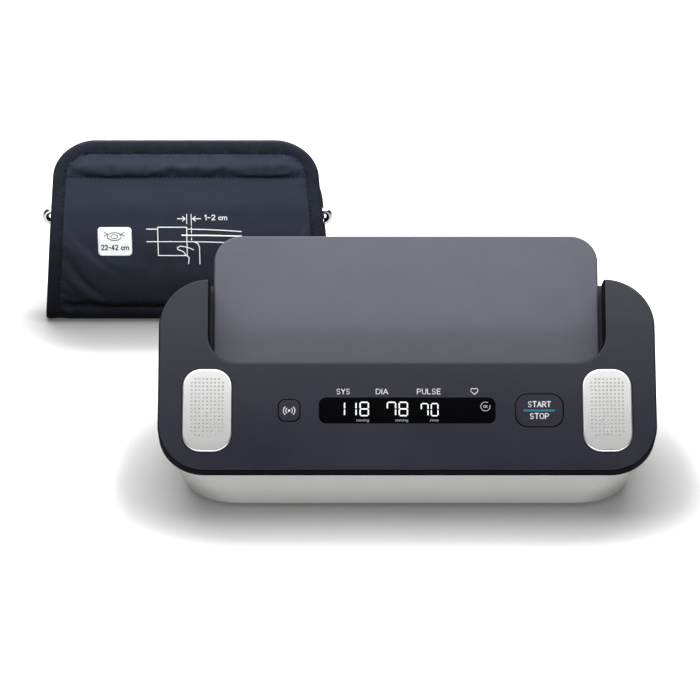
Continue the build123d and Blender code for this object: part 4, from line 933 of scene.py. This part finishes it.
class Stitches:
    """A row of short threads, each a small capsule that bows out of the cloth."""

    def __init__(self):
        self.points, self.faces = [], []

    def add(self, start, end, normal, radius=0.22):
        start, end, radius, sides = Vector(start), Vector(end), radius * MM, 6
        along = (end - start).normalized()
        normal = normal.normalized()
        side = along.cross(normal).normalized()
        # Each ring: its place along the thread, its share of the radius, and its height in radii.
        rings = [(0.0, 0.35, -0.9), (0.2, 0.85, 0.0), (0.5, 1.0, 0.35), (0.8, 0.85, 0.0), (1.0, 0.35, -0.9)]
        first = len(self.points)
        for t, thick, lift in rings:
            centre = start.lerp(end, t) + normal * lift * radius
            for k in range(sides):
                turn = 2 * pi / sides * k
                self.points.append(centre + (normal * cos(turn) + side * sin(turn)) * radius * thick)
        last = len(self.points) - sides
        self.faces += grid_faces(len(rings), sides, first, closed=True)
        self.faces.append(tuple(range(first, first + sides)))
        self.faces.append(tuple(reversed(range(last, last + sides))))

    def piece(self, name, slot):
        return new_piece(name, self.points, self.faces, "thread", "cuff", slot)


def on_tape(edge, after, t, out):
    """A point of the stitch line on the tape, a share t of the way from one edge point to the next."""
    x, s, nx, ns = edge
    return tape_point(x + (after[0] - x) * t, s + (after[1] - s) * t, nx, ns, STITCH_IN, out)


def make_edge_stitches():
    """Lockstitch along the tape's inner edge, on its outer face."""
    path, row = outline_points(), Stitches()
    carried = 0.6
    for edge, after in zip(path, path[1:]):
        gap = hypot(after[0] - edge[0], after[1] - edge[1])
        while carried < gap:
            share, last = carried / gap, min(1.0, (carried + EDGE_STITCH) / gap)
            start, end = on_tape(edge, after, share, STITCH_OUT), on_tape(edge, after, last, STITCH_OUT)
            if (end - start).length > 0.4 * MM:
                row.add(start, end, on_tape(edge, after, share, 2.14) - start, 0.2)
            carried += STITCH_PITCH
        carried -= gap
    row.piece("edge_stitches", "binding_navy")


def front_place(tree):
    """A function that puts (x, z, out) millimetres, in front view, on the cuff's front cloth."""

    sight = Vector((0, cos(radians(LOOK_DOWN)), -sin(radians(LOOK_DOWN))))

    def place(x, z, out):
        hit = tree.ray_cast(local_point(x, CUFF_FRONT, z) - 0.1 * sight, sight)[0]
        return hit + Vector((0, -1, 0)) * out * MM

    return place


def make_cuff():
    moves = swell_front(FRONT_COLUMNS)
    outer = layer("cuff_nylon", "cloth", BLADDER / 2 + CLOTH_GAP, STRIP / 2, 0, ROLL.length,
                  FRONT_COLUMNS, 1.0, "cuff_navy", moves)
    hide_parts("cuff_outer_cloth")
    inner = layer("cuff_pile", "lining", -STRIP / 2, -BLADDER / 2 - CLOTH_GAP, 0, ROLL.length,
                  INNER_COLUMNS, 0.0, "cuff_lining")
    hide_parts("cuff_inner_cloth")
    tail_start = ROLL.parts[6][0]  # the fourth run; the runs are the even parts
    tail = layer("cuff_tail_felt", "lining", -BLADDER / 2, BLADDER / 2, tail_start, ROLL.length,
                 INNER_COLUMNS, 0.35, "cuff_lining")
    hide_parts("cuff_tail_lining")
    air = layer("cuff_air_bag", "bladder", -BLADDER / 2, BLADDER / 2, 0, tail_start - 1,
                INNER_COLUMNS, 0.0, "bladder_grey")
    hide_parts("cuff_bladder")
    make_binding()
    make_edge_stitches()

    mesh = outer.data
    tree = BVHTree.FromPolygons([v.co for v in mesh.vertices], [tuple(p.vertices) for p in mesh.polygons])
    place = front_place(tree)
    seam = Stitches()
    for height, half in ((SEAM_Z, SEAM_HALF), (CREASE_Z, CREASE_HALF)):
        for k in range(int(2 * half / STITCH_PITCH)):
            x = CUFF_X - half + STITCH_PITCH * k
            ends = place(x, height, 0.0), place(x + SEAM_STITCH, height, 0.0)
            seam.add(*ends, Vector((0, -1, 0.1)), 0.18)
    seam.piece("seam_stitches", "cuff_navy")
    make_cuff_prints(place)


PLATE_SUNK = 0.1


def plate(place, left, right, low, high, corner, thickness, columns=14, rows=12):
    """Points and faces of a thin rounded rectangle on a surface that is given by place(x, z, out)."""
    points = []
    for out in (thickness, -PLATE_SUNK):
        for i in range(rows):
            z = low + (high - low) * (1 - cos(pi * i / (rows - 1))) / 2
            near = min(z - low, high - z)
            cut = corner - sqrt(max(0.0, corner ** 2 - (corner - near) ** 2)) if near < corner else 0.0
            for j in range(columns):
                x = (left + right) / 2 + ((right - left) / 2 - cut) * (2 * j / (columns - 1) - 1)
                points.append(place(x, z, out))
    return points, sheet_faces(rows, columns)


# The size patch's and the fitting diagram's places in the photo's view, in millimetres.
PATCH = (-149.3, -132.7, 38.8, 54.2)
PATCH_X, PATCH_Z = -141.2, 49.2
PATCH_LINE, WHITE_LINE = 0.36, 0.42
FRAME_BOX = (-119.9, -105.7, 38.9, 54.2)
DASH_X, ARROW_Z, ARM_HIGH, ARM_LOW, ELBOW = -103.4, 58.8, 53.2, 46.4, (-110.5, 43.2)


def make_cuff_prints(place):
    """Generic size patch and fitting diagram in white ink."""
    points, faces = plate(place, *PATCH, 1.6, 0.1)
    new_piece("size_patch", points, faces, "patch", "cuff", "cuff_navy")
    dark = Strokes(place, 0.2, 0.02)
    write(dark, "22-42", -147.9, -139.4, 41.8, 44.8, 0.5, 0.3)
    write(dark, "cm", -138.2, -134.1, 41.8, 44.6, 0.5, 0.22)
    dark.line(arc((PATCH_X, PATCH_Z), 3.4, 10, 350, 20, 0.62), PATCH_LINE)
    dark.line(arc((PATCH_X, PATCH_Z), 1.7, 0, 360, 14, 0.62), 0.3)
    for side in (-1, 1):
        far, near = PATCH_X + side * 4.9, PATCH_X + side * 3.3
        dark.line([(far, 51.6), (near, 50.5), (far, 49.4)], PATCH_LINE)
    dark.piece("size_patch_marks", "dark_print", "cuff", "cuff_navy")

    white = Strokes(place, 0.12, 0.12)
    left, right, low, high = FRAME_BOX
    white.line([(left, low), (right, low), (right, high), (left, high)], WHITE_LINE, closed=True, step=3.0)
    for height, drop in ((ARM_HIGH, 1.3), (ARM_LOW, 0.8)):
        white.line([(-125.4, height), (left, height)], WHITE_LINE, step=3.0)
        falling = [(-97, height - 0.15 * drop), (-88, height - 0.5 * drop), (-79, height - drop)]
        white.line([(right, height), *falling], WHITE_LINE, step=3.0)
    white.line([(left, ARM_LOW), (right, ARM_LOW)], 0.34, step=3.0)
    white.line([(-108.0, 49.9), (-96, 49.8), (-79.0, 49.4)], 0.7, step=3.0)
    for k in range(5):
        white.line([(DASH_X, 47.3 + 2.0 * k), (DASH_X, 48.3 + 2.0 * k)], 0.38)
    for x in (-105.6, DASH_X):
        white.line([(x, 56.2), (x, 61.2)], 0.36, step=2.0)
    for tip, way in ((-106.3, -1), (-102.7, 1)):
        white.line([(tip, ARROW_Z), (tip + way * 3.8, ARROW_Z)], WHITE_LINE, step=2.0)
        white.line([(tip + way * 1.3, 60.0), (tip, ARROW_Z), (tip + way * 1.3, 57.6)], WHITE_LINE)
    write(white, "1-2", -97.0, -91.6, 58.0, 61.0, WHITE_LINE, 0.3)
    write(white, "cm", -90.2, -85.8, 58.0, 60.7, WHITE_LINE, 0.22)
    over = [(-109.0, 44.0), (-106.5, 43.6), (-104.6, 43.0), (-102.6, 42.0)]
    under = [(-110.2, 42.2), (-107.6, 41.0), (-106.4, 39.2), (-104.8, 37.8), (-105.2, 34.4)]
    white.line([ELBOW, *over], WHITE_LINE, step=2.0)
    white.line([ELBOW, *under], WHITE_LINE)
    white.line([(-102.4, ARM_LOW), (-100.4, 45.4), (-99.6, 43.4), (-99.6, 34.4)], WHITE_LINE, step=3.0)
    white.piece("fitting_diagram", "cuff_print", "cuff", "cuff_navy")


# The hook tape's place and size, and the hem round the ring's upper wire.
HOOK_HALF, HOOK_LOW, HOOK_HIGH, HOOK_CORNER = 50, 39.0, 73.0, 3.0
HEM_HALF, HEM_Z, HEM_TOP, HEM_OUTSIDE, HEM_INSIDE = 58.5, 58.25, 61.2, 2.68, 1.85


def make_hooks_and_hem():
    """Hook tape behind the free end, and the sewn loop round the ring's upper wire."""

    def behind(x, z, out):
        fuzz = 0.1 * noise.noise(Vector((x / 2, z / 2, 0)))
        return local_point(x, CUFF_Y - 2 * PITCH + STRIP / 2 + 0.03 + (0.9 + fuzz if out > 0 else 0), z)

    ends = CUFF_X - HOOK_HALF, CUFF_X + HOOK_HALF
    points, faces = plate(behind, *ends, HOOK_LOW, HOOK_HIGH, HOOK_CORNER, 1.0, 60, 26)
    hooks = new_piece("hook_tape", points, faces, "hooks", "cuff", "hook_black")
    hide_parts("cuff_hook_patch")

    count = 60
    outer = [(-1.15, HEM_TOP), *arc((0, HEM_Z), HEM_OUTSIDE, 116, 424, 30), (1.15, HEM_TOP)]
    inner = [(-0.05, HEM_TOP), *arc((0, HEM_Z), HEM_INSIDE, 92, 448, 30), (0.05, HEM_TOP)]
    loop = outer + inner[::-1]
    points = []
    for i in range(count + 1):
        x = CUFF_X - HEM_HALF + 2 * HEM_HALF * i / count
        slack = 1 + 0.02 * noise.noise(Vector((x / 5, 0, 4)))
        points += [local_point(x, CUFF_Y + y * slack, z) for y, z in loop]
    faces = grid_faces(count + 1, len(loop), closed=True)
    for start in (0, count * len(loop)):
        for k in range(len(outer) - 1):
            other = len(loop) - 1 - k
            quad = (start + k, start + k + 1, start + other - 1, start + other)
            faces.append(quad if start else quad[::-1])
    hem = new_piece("ring_loop", points, faces, "cloth", "cuff", "cuff_navy", [(p.x, p.z) for p in points])
    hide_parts("ring_hem")


make_camera()
make_studio()
dress_nodes()
make_prints()
make_cuff()
make_hooks_and_hem()
light_cuff()
